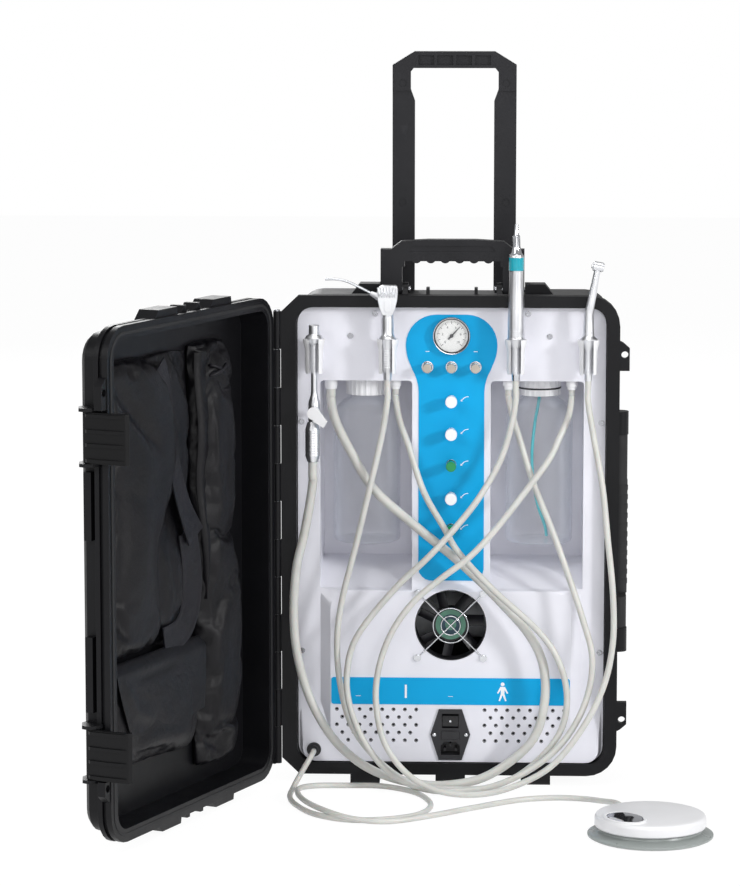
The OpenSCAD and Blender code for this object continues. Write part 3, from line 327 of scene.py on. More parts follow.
def cloth_finish(name, colour, threads=2600.0, sheen=0.015):
    """Black coated nylon: crossed threads, soft folds of sheen and lint."""
    f = Finish(name, colour, 0.42, specular_ior_level=0.24, sheen_weight=sheen,
               sheen_roughness=0.4, sheen_tint=(0.75, 0.75, 0.85, 1.0))
    at = f.place(turn=(0, 0, -LID_TURN))
    warp, weft = f.wave(threads / 6.28, at, "X"), f.wave(threads / 6.28, at, "Z")
    cloud = f.noise(26, 4, 0.6)
    lint = f.noise(900, 2, 0.5).between(0.66, 0.76)
    base = f.blend(cloud.between(0.3, 0.72), f.shade(0.8), f.shade(1.22))
    f.set("Base Color", f.blend(lint * 0.35, base, f.shade(2.2)))
    f.set("Roughness", cloud * 0.16 + 0.3)
    creases = f.bump(f.noise(34, 4, 0.6), 0.0030, 0.6)
    f.set("Normal", f.bump(warp * weft, 0.0002, 0.4, creases))
    return f.material


def clear_finish(name, colour, alpha, edge, roughness=0.06):
    """Clear blow-moulded plastic, denser where it is seen edge on."""
    f = Finish(name, colour, roughness, coat_weight=0.5, coat_roughness=0.03)
    facing = f.node("ShaderNodeLayerWeight", {}, {"Blend": 0.35}, 1)
    f.set("Alpha", facing ** 1.6 * (edge - alpha) + alpha)
    f.set("Roughness", f.noise(40, 3) * 0.05 + roughness)
    f.set("Normal", f.bump(f.noise(38, 2), 0.0009, 0.5))
    return f.material


FINISHES = {}


def make_finishes():
    """One finish for each material slot of the record, and the extra ones of the new pieces."""
    c = colours()
    FINISHES.update({
        "case": case_finish("CharcoalCase", tuple(c.case)),
        "latch": case_finish("LatchPlastic", srgb(13, 13, 15), 0.36),
        "handle": case_finish("HandlePlastic", srgb(34, 34, 37), 0.42),
        "panel": moulded("ConsoleWhite", tuple(c.panel), 0.36, 1500, 0.00003, 0.02,
                         coat_weight=0.08, coat_roughness=0.3),
        "label": film_finish("BlueFilm", tuple(c.label)),
        "chrome": metal_finish("BrightChrome", srgb(214, 216, 220), 0.14),
        "steel": metal_finish("ScrewSteel", srgb(176, 177, 182), 0.26),
        "satin_metal": metal_finish("SatinMetal", srgb(226, 227, 230), 0.34),
        "nickel": metal_finish("BrushedNickel", srgb(190, 182, 172), 0.27, along="Y"),
        "aluminium": metal_finish("CastAluminium", srgb(176, 178, 184), 0.42),
        "dial": moulded("DialWhite", srgb(240, 240, 238), 0.4, 900, 0.00001, 0.02),
        "lens": clear_finish("GaugeWindow", srgb(240, 244, 248), 0.05, 0.45),
        "bottle": clear_finish("ClearBottle", srgb(236, 240, 250), 0.05, 0.8),
        "black": moulded("BlackNylon", srgb(30, 30, 34), 0.42, 1400, 0.00005),
        "black_gloss": moulded("RockerBlack", srgb(20, 20, 23), 0.2, 900, 0.00001),
        "white_plastic": moulded("WhiteNylon", srgb(238, 238, 240), 0.34, 1300, 0.00003, 0.02,
                                 coat_weight=0.1),
        "grey_plastic": moulded("PedalGrey", srgb(154, 160, 158), 0.3, 1200, 0.00003, 0.04),
        "siphon": moulded("SiphonTeal", tuple(c.siphon), 0.25, 900, 0.00002, 0.05),
        "motor": moulded("MotorPaint", srgb(96, 100, 106), 0.45, 700, 0.0001),
        "tank": moulded("TankPaint", srgb(214, 217, 221), 0.35, 500, 0.00008, 0.03),
        "rubber": moulded("BlackRubber", srgb(26, 26, 28), 0.7, 1100, 0.0001),
        "fabric": cloth_finish("BagNylon", tuple(c.fabric)),
        "knob_white": moulded("KnobWhite", srgb(244, 244, 246), 0.26, 900, 0.00002, 0.01,
                              coat_weight=0.3),
        "knob_green": moulded("KnobGreen", tuple(c.knob), 0.26, 900, 0.00002, 0.05,
                              coat_weight=0.3),
        "blue": metal_finish("AirButton", srgb(198, 200, 204), 0.2),
        "hose": hose_finish("HoseSilicone", tuple(c.hose)),
        "ring": moulded("TealRing", tuple(c.ring), 0.22, 900, 0.00002, 0.05, coat_weight=0.4),
        "webbing": cloth_finish("StrapWebbing", srgb(24, 23, 28), 1500, 0.03),
        "ink": moulded("DialInk", srgb(28, 28, 32), 0.5, 900, 0.00001),
        "white_ink": moulded("WhiteInk", srgb(244, 246, 250), 0.4, 900, 0.00001, 0.01),
        "hub_green": moulded("HubDisc", srgb(84, 132, 112), 0.4, 900, 0.00001, 0.03),
        "hub_blue": moulded("HubRing", srgb(34, 62, 78), 0.4, 900, 0.00001, 0.03),
        "mirror": metal_finish("PedalMirror", srgb(226, 228, 234), 0.06, 300),
    })


# ---- making pieces --------------------------------------------------------------------


def region_widths(shape):
    """The width of the smooth region that each face is in."""
    seen, width = set(), {}
    for face in shape.faces:
        if face in seen:
            continue
        group, stack, border = [], [face], 0.0
        seen.add(face)
        while stack:
            f = stack.pop()
            group.append(f)
            for edge in f.edges:
                if len(edge.link_faces) != 2 or edge.calc_face_angle() > SHARP:
                    border += edge.calc_length()
                    continue
                for other in edge.link_faces:
                    if other not in seen:
                        seen.add(other)
                        stack.append(other)
        size = 2 * sum(f.calc_area() for f in group) / max(border, 1e-9)
        for f in group:
            width[f] = size
    return width


def round_edges(shape, radius, segments=2, only=None):
    """Rounds the sharp edges whose faces are wide enough for it."""
    width = region_widths(shape)
    edges = [e for e in shape.edges if len(e.link_faces) == 2
             and e.calc_face_angle() > SHARP
             and min(width[f] for f in e.link_faces) > WIDE_ENOUGH * radius
             and (only is None or only(e))]
    if edges:
        bmesh.ops.bevel(shape, geom=edges, offset=radius, offset_type="OFFSET", affect="EDGES",
                        segments=segments, profile=0.5, material=-1, clamp_overlap=True)


def piece(name, shape, finishes, body, replaces=(), smooth=35, weighted=True):
    """Turns a bmesh into a finished object that rides on a body."""
    mesh = bpy.data.meshes.new(name)
    shape.to_mesh(mesh)
    shape.free()
    for finish in finishes:
        mesh.materials.append(FINISHES[finish])
    mesh.shade_smooth()
    mesh.set_sharp_from_angle(angle=math.radians(smooth))
    made = bpy.data.objects.new(name, mesh)
    bpy.context.scene.collection.objects.link(made)
    if weighted:
        normals = made.modifiers.new("Flat faces stay flat", "WEIGHTED_NORMAL")
        normals.keep_sharp = True
    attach(made, body)
    if replaces:
        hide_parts(*replaces)
    return made


def rounded_copy(node, radius, segments=2, finish=None, steps=(), smooth=35, also=()):
    """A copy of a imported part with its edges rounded, which is shown in its place.

    The steps round chosen edges first, and also gives further finishes to the faces that a
    test picks by their middle in mm.
    """
    shape = bmesh.new()
    shape.from_mesh(NODES[node].data)
    bmesh.ops.remove_doubles(shape, verts=shape.verts, dist=2e-6)
    bmesh.ops.dissolve_limit(shape, angle_limit=math.radians(1), use_dissolve_boundaries=False,
                             verts=shape.verts, edges=shape.edges, delimit={"MATERIAL"})
    for step_radius, step_segments, only in steps:
        round_edges(shape, step_radius, step_segments, only=only)
    round_edges(shape, radius, segments)
    finishes = [finish or SLOTS[node]]
    for name, test in also:
        finishes.append(name)
        for face in shape.faces:
            if test(face.calc_center_median() / MM):
                face.material_index = len(finishes) - 1
    return piece(node + "_rounded", shape, finishes, NODES[node]["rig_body"], [node],
                 smooth)


def turned(profile, steps=48):
    """A bmesh of a profile of (radius, height) in mm spun about Z."""
    shape = bmesh.new()
    points = [shape.verts.new((r * MM, 0, z * MM)) for r, z in profile]
    lines = [shape.edges.new(pair) for pair in zip(points, points[1:])]
    bmesh.ops.spin(shape, geom=points + lines, cent=(0, 0, 0), axis=(0, 0, 1), dvec=(0, 0, 0),
                   angle=math.tau, steps=steps, use_merge=True, use_duplicate=False)
    bmesh.ops.remove_doubles(shape, verts=shape.verts, dist=1e-6)
    bmesh.ops.recalc_face_normals(shape, faces=shape.faces)
    return shape


def move(shape, x=0.0, y=0.0, z=0.0, turn=None):
    """Turns a bmesh about the origin and moves it, in mm."""
    if turn:
        bmesh.ops.rotate(shape, verts=shape.verts, cent=(0, 0, 0), matrix=turn)
    bmesh.ops.translate(shape, verts=shape.verts, vec=(x * MM, y * MM, z * MM))
    return shape


def join(shape, *others):
    """Adds other bmeshes to the first."""
    for other in others:
        mesh = bpy.data.meshes.new("joined")
        other.to_mesh(mesh)
        other.free()
        shape.from_mesh(mesh)
        bpy.data.meshes.remove(mesh)
    return shape


def zones(shape, bands):
    """Gives faces the finish index of the band of height that they are in, in mm."""
    for face in shape.faces:
        z = face.calc_center_median().z / MM
        for low, high, index in bands:
            if low <= z < high:
                face.material_index = index


FACING = Matrix.Rotation(math.radians(90), 3, "X")


def plate(outline, thickness):
    """A flat bmesh of an outline in mm, standing in XZ with its face towards -Y."""
    shape = bmesh.new()
    face = shape.faces.new([shape.verts.new((x * MM, 0, z * MM)) for x, z in outline])
    back = bmesh.ops.extrude_face_region(shape, geom=[face])["geom"]
    bmesh.ops.translate(shape, verts=[v for v in back if isinstance(v, bmesh.types.BMVert)],
                        vec=(0, thickness * MM, 0))
    bmesh.ops.recalc_face_normals(shape, faces=shape.faces)
    return shape


def ring_points(count, radius, start, stop, x=0.0, z=0.0):
    """Points of an arc in mm from one angle to another, both ends included."""
    turns = [math.radians(start + (stop - start) * i / count) for i in range(count + 1)]
    return [(x + radius * math.cos(turn), z + radius * math.sin(turn)) for turn in turns]


def ribs(radius, low, high, pitch, depth):
    """Profile points of fine turned grooves between two heights."""
    points, z = [], low
    while z < high:
        points += [(radius, z), (radius, z + pitch * 0.45), (radius - depth, z + pitch * 0.6),
                   (radius - depth, z + pitch * 0.85)]
        z += pitch
    return points + [(radius, z)]


# Profile of the collar by which each instrument hangs in its holder
COLLAR = [(7.6, 561.4), (8.9, 564.8), (9.2, 565.4), (9.2, 566), (10.8, 566), (11.2, 566.4),
          (11.2, 567.2), (10.8, 567.6)]


def placed(shape, matrix):
    bmesh.ops.transform(shape, matrix=matrix, verts=shape.verts)
    return shape


def shift(x, y, z):
    """A move in mm."""
    return Matrix.Translation((x * MM, y * MM, z * MM))


def tilt(degrees):
    """A turn about Y, which leans a standing form to the right."""
    return Matrix.Rotation(math.radians(degrees), 4, "Y")


def tube(name, points, finish, radius, sides, steps):
    """A round curve with closed ends through points in mm."""
    curve = bpy.data.curves.new(name, "CURVE")
    curve.dimensions = "3D"
    curve.bevel_depth, curve.bevel_resolution = radius, sides
    curve.resolution_u, curve.use_fill_caps = steps, True
    curve.materials.append(FINISHES[finish])
    knots = curve.splines.new("BEZIER").bezier_points
    knots.add(len(points) - 1)
    for knot, point in zip(knots, points):
        knot.handle_left_type = knot.handle_right_type = "AUTO"
        knot.co = Vector(point) * MM
    made = bpy.data.objects.new(name, curve)
    bpy.context.scene.collection.objects.link(made)
    return made


# ---- hoses ----------------------------------------------------------------------------


def pedal_at(radius, height):
    """Point on the line along which the foot hose leaves the foot control."""
    return (PEDAL[0] + radius * math.cos(PEDAL_TURN), PEDAL[1] + radius * math.sin(PEDAL_TURN),
            height)


ROUTES = {
    "suction_hose": [
        (-151, 28, 499), (-151, 28, 492), (-151, 28, 485), (-145, 18, 460), (-126, 6, 424),
        (-95, -1, 375), (-38, -7, 326), (12, -12, 286), (60, -17, 240), (99, -21, 196),
        (117, -25, 155), (117, -28, 105), (100, -30, 60), (50, -31, 20), (0, -32, 7),
        (-50, -30, 9), (-101, -28, 26), (-142, -24, 58), (-172, -20, 105), (-190, -16, 160),
        (-196, -14, 215), (-193, -12, 275), (-183, -10, 320), (-176, -8, 358),
        (-172, -9, 386), (-172, -12, 394), (-172, -12, 403), (-172, -12, 412)],
    "syringe_hose": [
        (-70, 28, 499), (-70, 28, 494), (-70, 28, 489), (-65, 14, 462), (-53, 4, 430),
        (-34, -4, 374), (-8, -21, 331), (11, -27, 300), (54, -33, 255), (111, -37, 203),
        (136, -39, 165), (146, -41, 120), (136, -43, 75), (100, -45, 33), (55, -47, 9),
        (0, -47, 5), (-50, -46, 13), (-91, -44, 42), (-122, -40, 83), (-137, -34, 135),
        (-141, -28, 190), (-135, -22, 240), (-120, -18, 300), (-102, -17, 375),
        (-86, -12, 445), (-79, -12, 490), (-79, -12, 503), (-79, -12, 515)],
    "low_speed_hose": [
        (71, 28, 499), (71, 28, 494), (71, 28, 489), (77, 16, 464), (84, 8, 443),
        (103, -2, 384), (125, -14, 331), (140, -20, 291), (165, -30, 218), (177, -36, 170),
        (170, -43, 120), (147, -51, 75), (111, -56, 40), (60, -60, 14), (10, -62, 6),
        (-35, -61, 9), (-75, -60, 29), (-105, -57, 65), (-124, -50, 109), (-128, -44, 150),
        (-116, -38, 196), (-70, -35, 255), (-26, -37, 298), (11, -32, 339), (38, -24, 374),
        (62, -15, 417), (75, -12, 460), (80, -12, 490), (80, -12, 503), (80, -12, 515)],
    "high_speed_hose": [
        (150, 28, 499), (150, 28, 494), (150, 28, 489), (146, 17, 467), (135, 5, 442),
        (120, -8, 413), (88, -25, 372), (54, -38, 330), (23, -46, 298), (-10, -49, 273),
        (-45, -51, 243), (-72, -54, 205), (-88, -58, 160), (-91, -62, 115), (-80, -68, 67),
        (-52, -73, 30), (-15, -76, 10), (30, -76, 5), (75, -72, 13), (125, -65, 38),
        (163, -58, 83), (190, -50, 135), (202, -43, 190), (202, -35, 250), (195, -27, 320),
        (188, -18, 385), (176, -13, 450), (169.5, -12, 490), (169.5, -12, 503),
        (169.5, -12, 515)],
    "foot_hose": [
        (-172, -6, 43), (-172, -10, 43), (-172, -15, 43), (-178, -27, 34), (-190, -36, 14),
        (-196, -52, 4), (-197, -90, 4), (-188, -130, 4), (-163, -178, 4), (-122, -206, 4),
        (-78, -204, 4), (-38, -180, 4), (-22, -140, 4), (-26, -100, 4), (-46, -58, 4),
        (-85, -30, 4), (-130, -28, 4), (-168, -44, 7), (-187, -80, 11), (-180, -128, 11),
        (-156, -178, 11), (-116, -212, 7), (-70, -213, 4), (-20, -182, 4), (30, -140, 4),
        (85, -98, 4), (130, -84, 4), (166, -92, 5), (190, -120, 9), (201, -146, 14),
        pedal_at(98, 18), pedal_at(88, 18), pedal_at(80, 18)],
}


def hose(name, diameter):
    """One hose as a smooth curve through its route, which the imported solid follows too."""
    made = tube(name + "_silicone", ROUTES[name], "hose", diameter / 2, 3, 6)
    points = [Vector(p) * MM for p in ROUTES[name]]
    befores, afters = points[:1] + points, points[1:] + points[-1:]
    knots = made.data.splines[0].bezier_points
    for knot, point, before, after in zip(knots, points, befores, afters):
        slope = (after - before) / 6
        knot.handle_left_type = knot.handle_right_type = "FREE"
        knot.handle_left, knot.handle_right = point - slope, point + slope
    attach(made, "base")
    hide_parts(name)
    "loose" if name == "foot_hose" else "hanging"


# ---- soft goods -----------------------------------------------------------------------


def along(path, at):
    """Point of a polyline of (height, value) pairs at a height, smoothly between them."""
    path = sorted(path)
    if at <= path[0][0]:
        return path[0][1]
    for (low, first), (high, second) in zip(path, path[1:]):
        if at <= high:
            share = (at - low) / (high - low)
            share = share * share * (3 - 2 * share) * 0.5 + share * 0.5
            return first + (second - first) * share
    return path[-1][1]


def away(path, u, z):
    """Distance in mm from a point to a polyline of (u, z) points, and how far along it is."""
    best, where, run = 1e9, 0.0, 0.0
    total = sum(math.dist(a, b) for a, b in zip(path, path[1:]))
    for (ua, za), (ub, zb) in zip(path, path[1:]):
        du, dz = ub - ua, zb - za
        size = math.hypot(du, dz)
        t = min(1, max(0, ((u - ua) * du + (z - za) * dz) / (size * size)))
        gap = math.hypot(u - ua - t * du, z - za - t * dz)
        if gap < best:
            best, where = gap, (run + t * size) / total
        run += size
    return best, where


def fold(path, u, z, width, height):
    """Height in mm of a soft fold along a polyline, which runs out at its ends."""
    gap, where = away(path, u, z)
    fade = 0.25  # share of the line over which each end runs out
    ends = min(1, where / fade, (1 - where) / fade)
    return height * max(0, ends) ** 0.8 * math.exp(-(gap / width) ** 2)


def folded(surface, folds, u, z):
    """The height of a surface in mm with the soft folds of a list added to it."""
    for path, width, height in folds:
        surface += fold(path, u, z, width, height)
    return surface


def in_lid(u, t, z):
    """Point in the model's frame of a place in the lid: u from the hinge, t from its back."""
    return LID @ Vector((u * MM, (TRAY_BACK + t) * MM, z * MM))


def cloth_grid(columns, rows, place):
    """A grid whose points go where place(s, q) says, for s and q from -1 to 1."""
    shape = bmesh.new()
    bmesh.ops.create_grid(shape, x_segments=columns, y_segments=rows, size=1)
    for vert in shape.verts:
        vert.co = place(vert.co.x, vert.co.y)
    return shape


def close_back(shape, thick=None):
    """Gives a grid in the lid a second side, on the tray's back or thick mm behind the first."""
    copied = bmesh.ops.duplicate(shape, geom=[*shape.verts, *shape.edges, *shape.faces])["geom"]
    inverse = LID.inverted()
    for vert in copied:
        if isinstance(vert, bmesh.types.BMVert):
            local = inverse @ vert.co
            local.y = TRAY_BACK * MM if thick is None else local.y - thick * MM
            vert.co = LID @ local
    if thick is None:
        bmesh.ops.remove_doubles(shape, verts=shape.verts, dist=2e-5)
    else:
        bmesh.ops.bridge_loops(shape, edges=[e for e in shape.edges if e.is_boundary])
    bmesh.ops.recalc_face_normals(shape, faces=shape.faces)
    return shape


def bulge(a, squareness):
    """Place and height across a stuffed form, for a from -1 to 1."""
    across = a * (1.5 - 0.5 * a * a)
    return across, max(0, 1 - abs(across) ** squareness) ** (1 / squareness)


def swell(made, pressure=3.0, slack=0.05, cap=5.0, frames=18, voxel=4.5):
    """Lets a bag settle as cloth under a little air, and keeps each point near its place."""
    remesh = made.modifiers.new("Even cloth", "REMESH")
    remesh.mode, remesh.voxel_size = "VOXEL", voxel * MM
    scene = bpy.context.scene
    graph = bpy.context.evaluated_depsgraph_get()
    start = bpy.data.meshes.new_from_object(made.evaluated_get(graph))
    made.modifiers.remove(remesh)
    finish = made.data.materials[0]
    copy = bpy.data.objects.new(made.name + "_cloth", start)
    scene.collection.objects.link(copy)
    inverse = LID.inverted()
    pins = copy.vertex_groups.new(name="Pinned")
    for vert in start.vertices:
        depth = (inverse @ vert.co).y / MM - TRAY_BACK
        on_tray = depth < 3
        pins.add([vert.index], 1.0 if on_tray else 0.0, "REPLACE")
    cloth = copy.modifiers.new("Cloth", "CLOTH")
    cloth.settings.use_pressure = True
    cloth.settings.uniform_pressure_force = pressure
    cloth.settings.shrink_min = -slack
    cloth.settings.effector_weights.gravity = 0
    cloth.settings.vertex_group_mass = "Pinned"
    cloth.settings.mass = 0.15
    cloth.settings.bending_stiffness = 0.2
    cloth.collision_settings.use_self_collision = False
    cloth.point_cache.frame_end = frames
    for f in range(1, frames + 1):
        scene.frame_set(f)
    graph = bpy.context.evaluated_depsgraph_get()
    settled = bpy.data.meshes.new_from_object(copy.evaluated_get(graph))
    scene.frame_set(1)
    for before, after in zip(start.vertices, settled.vertices):
        step = after.co - before.co
        if step.length > cap * MM:
            after.co = before.co + step * (cap * MM / step.length)
    bpy.data.objects.remove(copy)
    settled.materials.clear()
    settled.materials.append(finish)
    settled.shade_smooth()
    made.data = settled


def finish_bag(name, shape, node):
    """Puts a stuffed bag in place of a packed one, settled and smoothed."""
    made = piece(name, shape, ["fabric"], NODES[node]["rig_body"], [node],
                 smooth=180, weighted=False)
    swell(made)
    soft = made.modifiers.new("Smooth cloth", "SUBSURF")
    soft.levels = soft.render_levels = 1
    return made


def sew(trim, bag):
    """Makes a trim move with its bag."""
    trim.parent, trim.matrix_parent_inverse = bag, Matrix.Identity(4)


def webbing(name, line, width, node, thickness=1.7):
    """A flat strap through (u, t, z, tilt) points, with its two sewn edges raised."""
    points = [Vector(p[:3]) for p in line]
    tilts = [p[3] for p in line]
    last = len(points) - 1

    def at(s):
        x = (s + 1) / 2 * last
        i = min(int(x), last - 1)
        t = x - i
        a, b, c, d = (points[max(i - 1, 0)], points[i], points[i + 1], points[min(i + 2, last)])
        where = 0.5 * (2 * b + (c - a) * t + (2 * a - 5 * b + 4 * c - d) * t * t
                       + (3 * b - a - 3 * c + d) * t ** 3)
        return where, c - b, tilts[i] + (tilts[i + 1] - tilts[i]) * t

    def place(s, q):
        where, run, tilt = at(s)
        side = Vector((run.z, 0, -run.x)).normalized()
        across = q * width / 2
        lift = math.sin(math.radians(tilt)) * across
        crown = 0.5 * math.exp(-((abs(q) - 0.86) / 0.07) ** 2)
        flat = where + side * across * math.cos(math.radians(tilt))
        return in_lid(flat.x, flat.y + lift + crown, flat.z)

    shape = close_back(cloth_grid(60, 14, place), thickness)
    return piece(name, shape, ["webbing"], NODES[node]["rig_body"], smooth=50)


# ---- operators ------------------------------------------------------------------------


class UNIT_OT_finishes(bpy.types.Operator):
    """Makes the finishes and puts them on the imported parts"""

    bl_idname = "unit.finishes"
    bl_label = "Finishes"

    def execute(self, context):
        make_finishes()
        for name, node in NODES.items():
            for slot in node.material_slots:
                slot.material = FINISHES[SLOTS[name]]
        return {"FINISHED"}


class UNIT_OT_stage(bpy.types.Operator):
    """Sets the camera, the pale floor, the sky and the soft lamps"""

    bl_idname = "unit.stage"
    bl_label = "Stage"

    def execute(self, context):
        scene = bpy.context.scene
        scene.view_settings.view_transform = "Standard"
        eye = bpy.data.cameras.new("Photograph")
        eye.sensor_width, eye.lens = 36, 150.6
        eye.clip_end = 50
        camera = bpy.data.objects.new("Camera", eye)
        camera.location = (0.08084, -4.56985, 1.0811)
        camera.rotation_euler = (math.radians(90 - 8.05), 0, math.radians(2.28))
        scene.collection.objects.link(camera)
        scene.camera = camera
        self.floor(scene)
        self.sky(scene)
        faced = Vector((0, 0.05, 0.35))
        for name, place, size, power in (
                ("KeyLamp", (3.0, -2.3, 1.55), 0.6, 68),
                ("FillLamp", (-2.6, -3.2, 2.4), 2.4, 50),
                ("TopLamp", (0.2, -0.6, 3.2), 2.2, 26),
                ("FrontLamp", (0.5, -4.4, 1.3), 1.8, 26),
                ("BackLamp", (-1.2, 3.6, 2.3), 1.8, 60)):
            lamp = bpy.data.lights.new(name, "AREA")
            lamp.shape, lamp.size, lamp.energy = "DISK", size, power
            holder = bpy.data.objects.new(name, lamp)
            holder.location = place
            holder.rotation_euler = (faced - Vector(place)).to_track_quat("-Z", "Y").to_euler()
            scene.collection.objects.link(holder)
        return {"FINISHED"}

    @staticmethod
    def floor(scene):
        shape = bmesh.new()
        bmesh.ops.create_grid(shape, x_segments=2, y_segments=2, size=9)
        move(shape, z=-0.3)
        mesh = bpy.data.meshes.new("floor")
        shape.to_mesh(mesh)
        shape.free()
        floor = bpy.data.objects.new("floor", mesh)
        scene.collection.objects.link(floor)
        f = Finish("PaleFloor", (0.86, 0.86, 0.87), 0.9)
        seen = f.node("ShaderNodeLightPath", output="Is Camera Ray")
        glossy = f.node("ShaderNodeLightPath", output="Is Glossy Ray")
        white = f.node("ShaderNodeEmission", {}, {"Color": (1, 1, 1, 1), "Strength": 1.07})
        share = f.node("ShaderNodeMath", {"operation": "MAXIMUM"}, (seen, glossy)) * 0.88
        out = f.tree.nodes["Material Output"]
        mixed = f.node("ShaderNodeMixShader", {}, {
            0: share, 1: Value(f, f.shader.outputs[0]), 2: white})
        f.tree.links.new(mixed.socket, out.inputs["Surface"])
        floor.data.materials.append(f.material)

    @staticmethod
    def sky(scene):
        world = bpy.data.worlds.new("SoftStudio")
        world.use_nodes = True
        scene.world = world
        tree = world.node_tree
        sky = tree.nodes["Background"]
        sky.inputs["Color"].default_value = (1, 1, 1, 1)
        path = tree.nodes.new("ShaderNodeLightPath")
        straight = tree.nodes.new("ShaderNodeMath")
        straight.operation = "MAXIMUM"
        tree.links.new(path.outputs["Is Camera Ray"], straight.inputs[0])
        tree.links.new(path.outputs["Is Transmission Ray"], straight.inputs[1])
        level = tree.nodes.new("ShaderNodeMapRange")
        level.inputs["To Min"].default_value = 0.36
        level.inputs["To Max"].default_value = 1.0
        tree.links.new(straight.outputs[0], level.inputs["Value"])
        tree.links.new(level.outputs[0], sky.inputs["Strength"])


class UNIT_OT_hoses(bpy.types.Operator):
    """Lays the four hanging hoses, the foot hose and the siphon tube"""

    bl_idname = "unit.hoses"
    bl_label = "Hoses"

    def execute(self, context):
        s = sizes()
        hose("suction_hose", s.suction_hose)
        for name in ("syringe_hose", "low_speed_hose", "high_speed_hose"):
            hose(name, s.hand_hose)
        hose("foot_hose", s.foot_hose)
        self.siphon()
        return {"FINISHED"}

    @staticmethod
    def siphon():
        x, y = BOTTLE_X[1], BOTTLE_Y
        line = [(x, y, 507), (x, y, 499), (x, y, 488), (x - 6, y, 450), (x - 9, y, 400),
                (x - 2, y, 350), (x + 8, y, 320), (x + 10, y, 308)]
        made = tube("siphon_tube", line, "siphon", 0.002, 2, 6)
        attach(made, NODES["water_pickup_tube"]["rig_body"])
        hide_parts("water_pickup_tube")


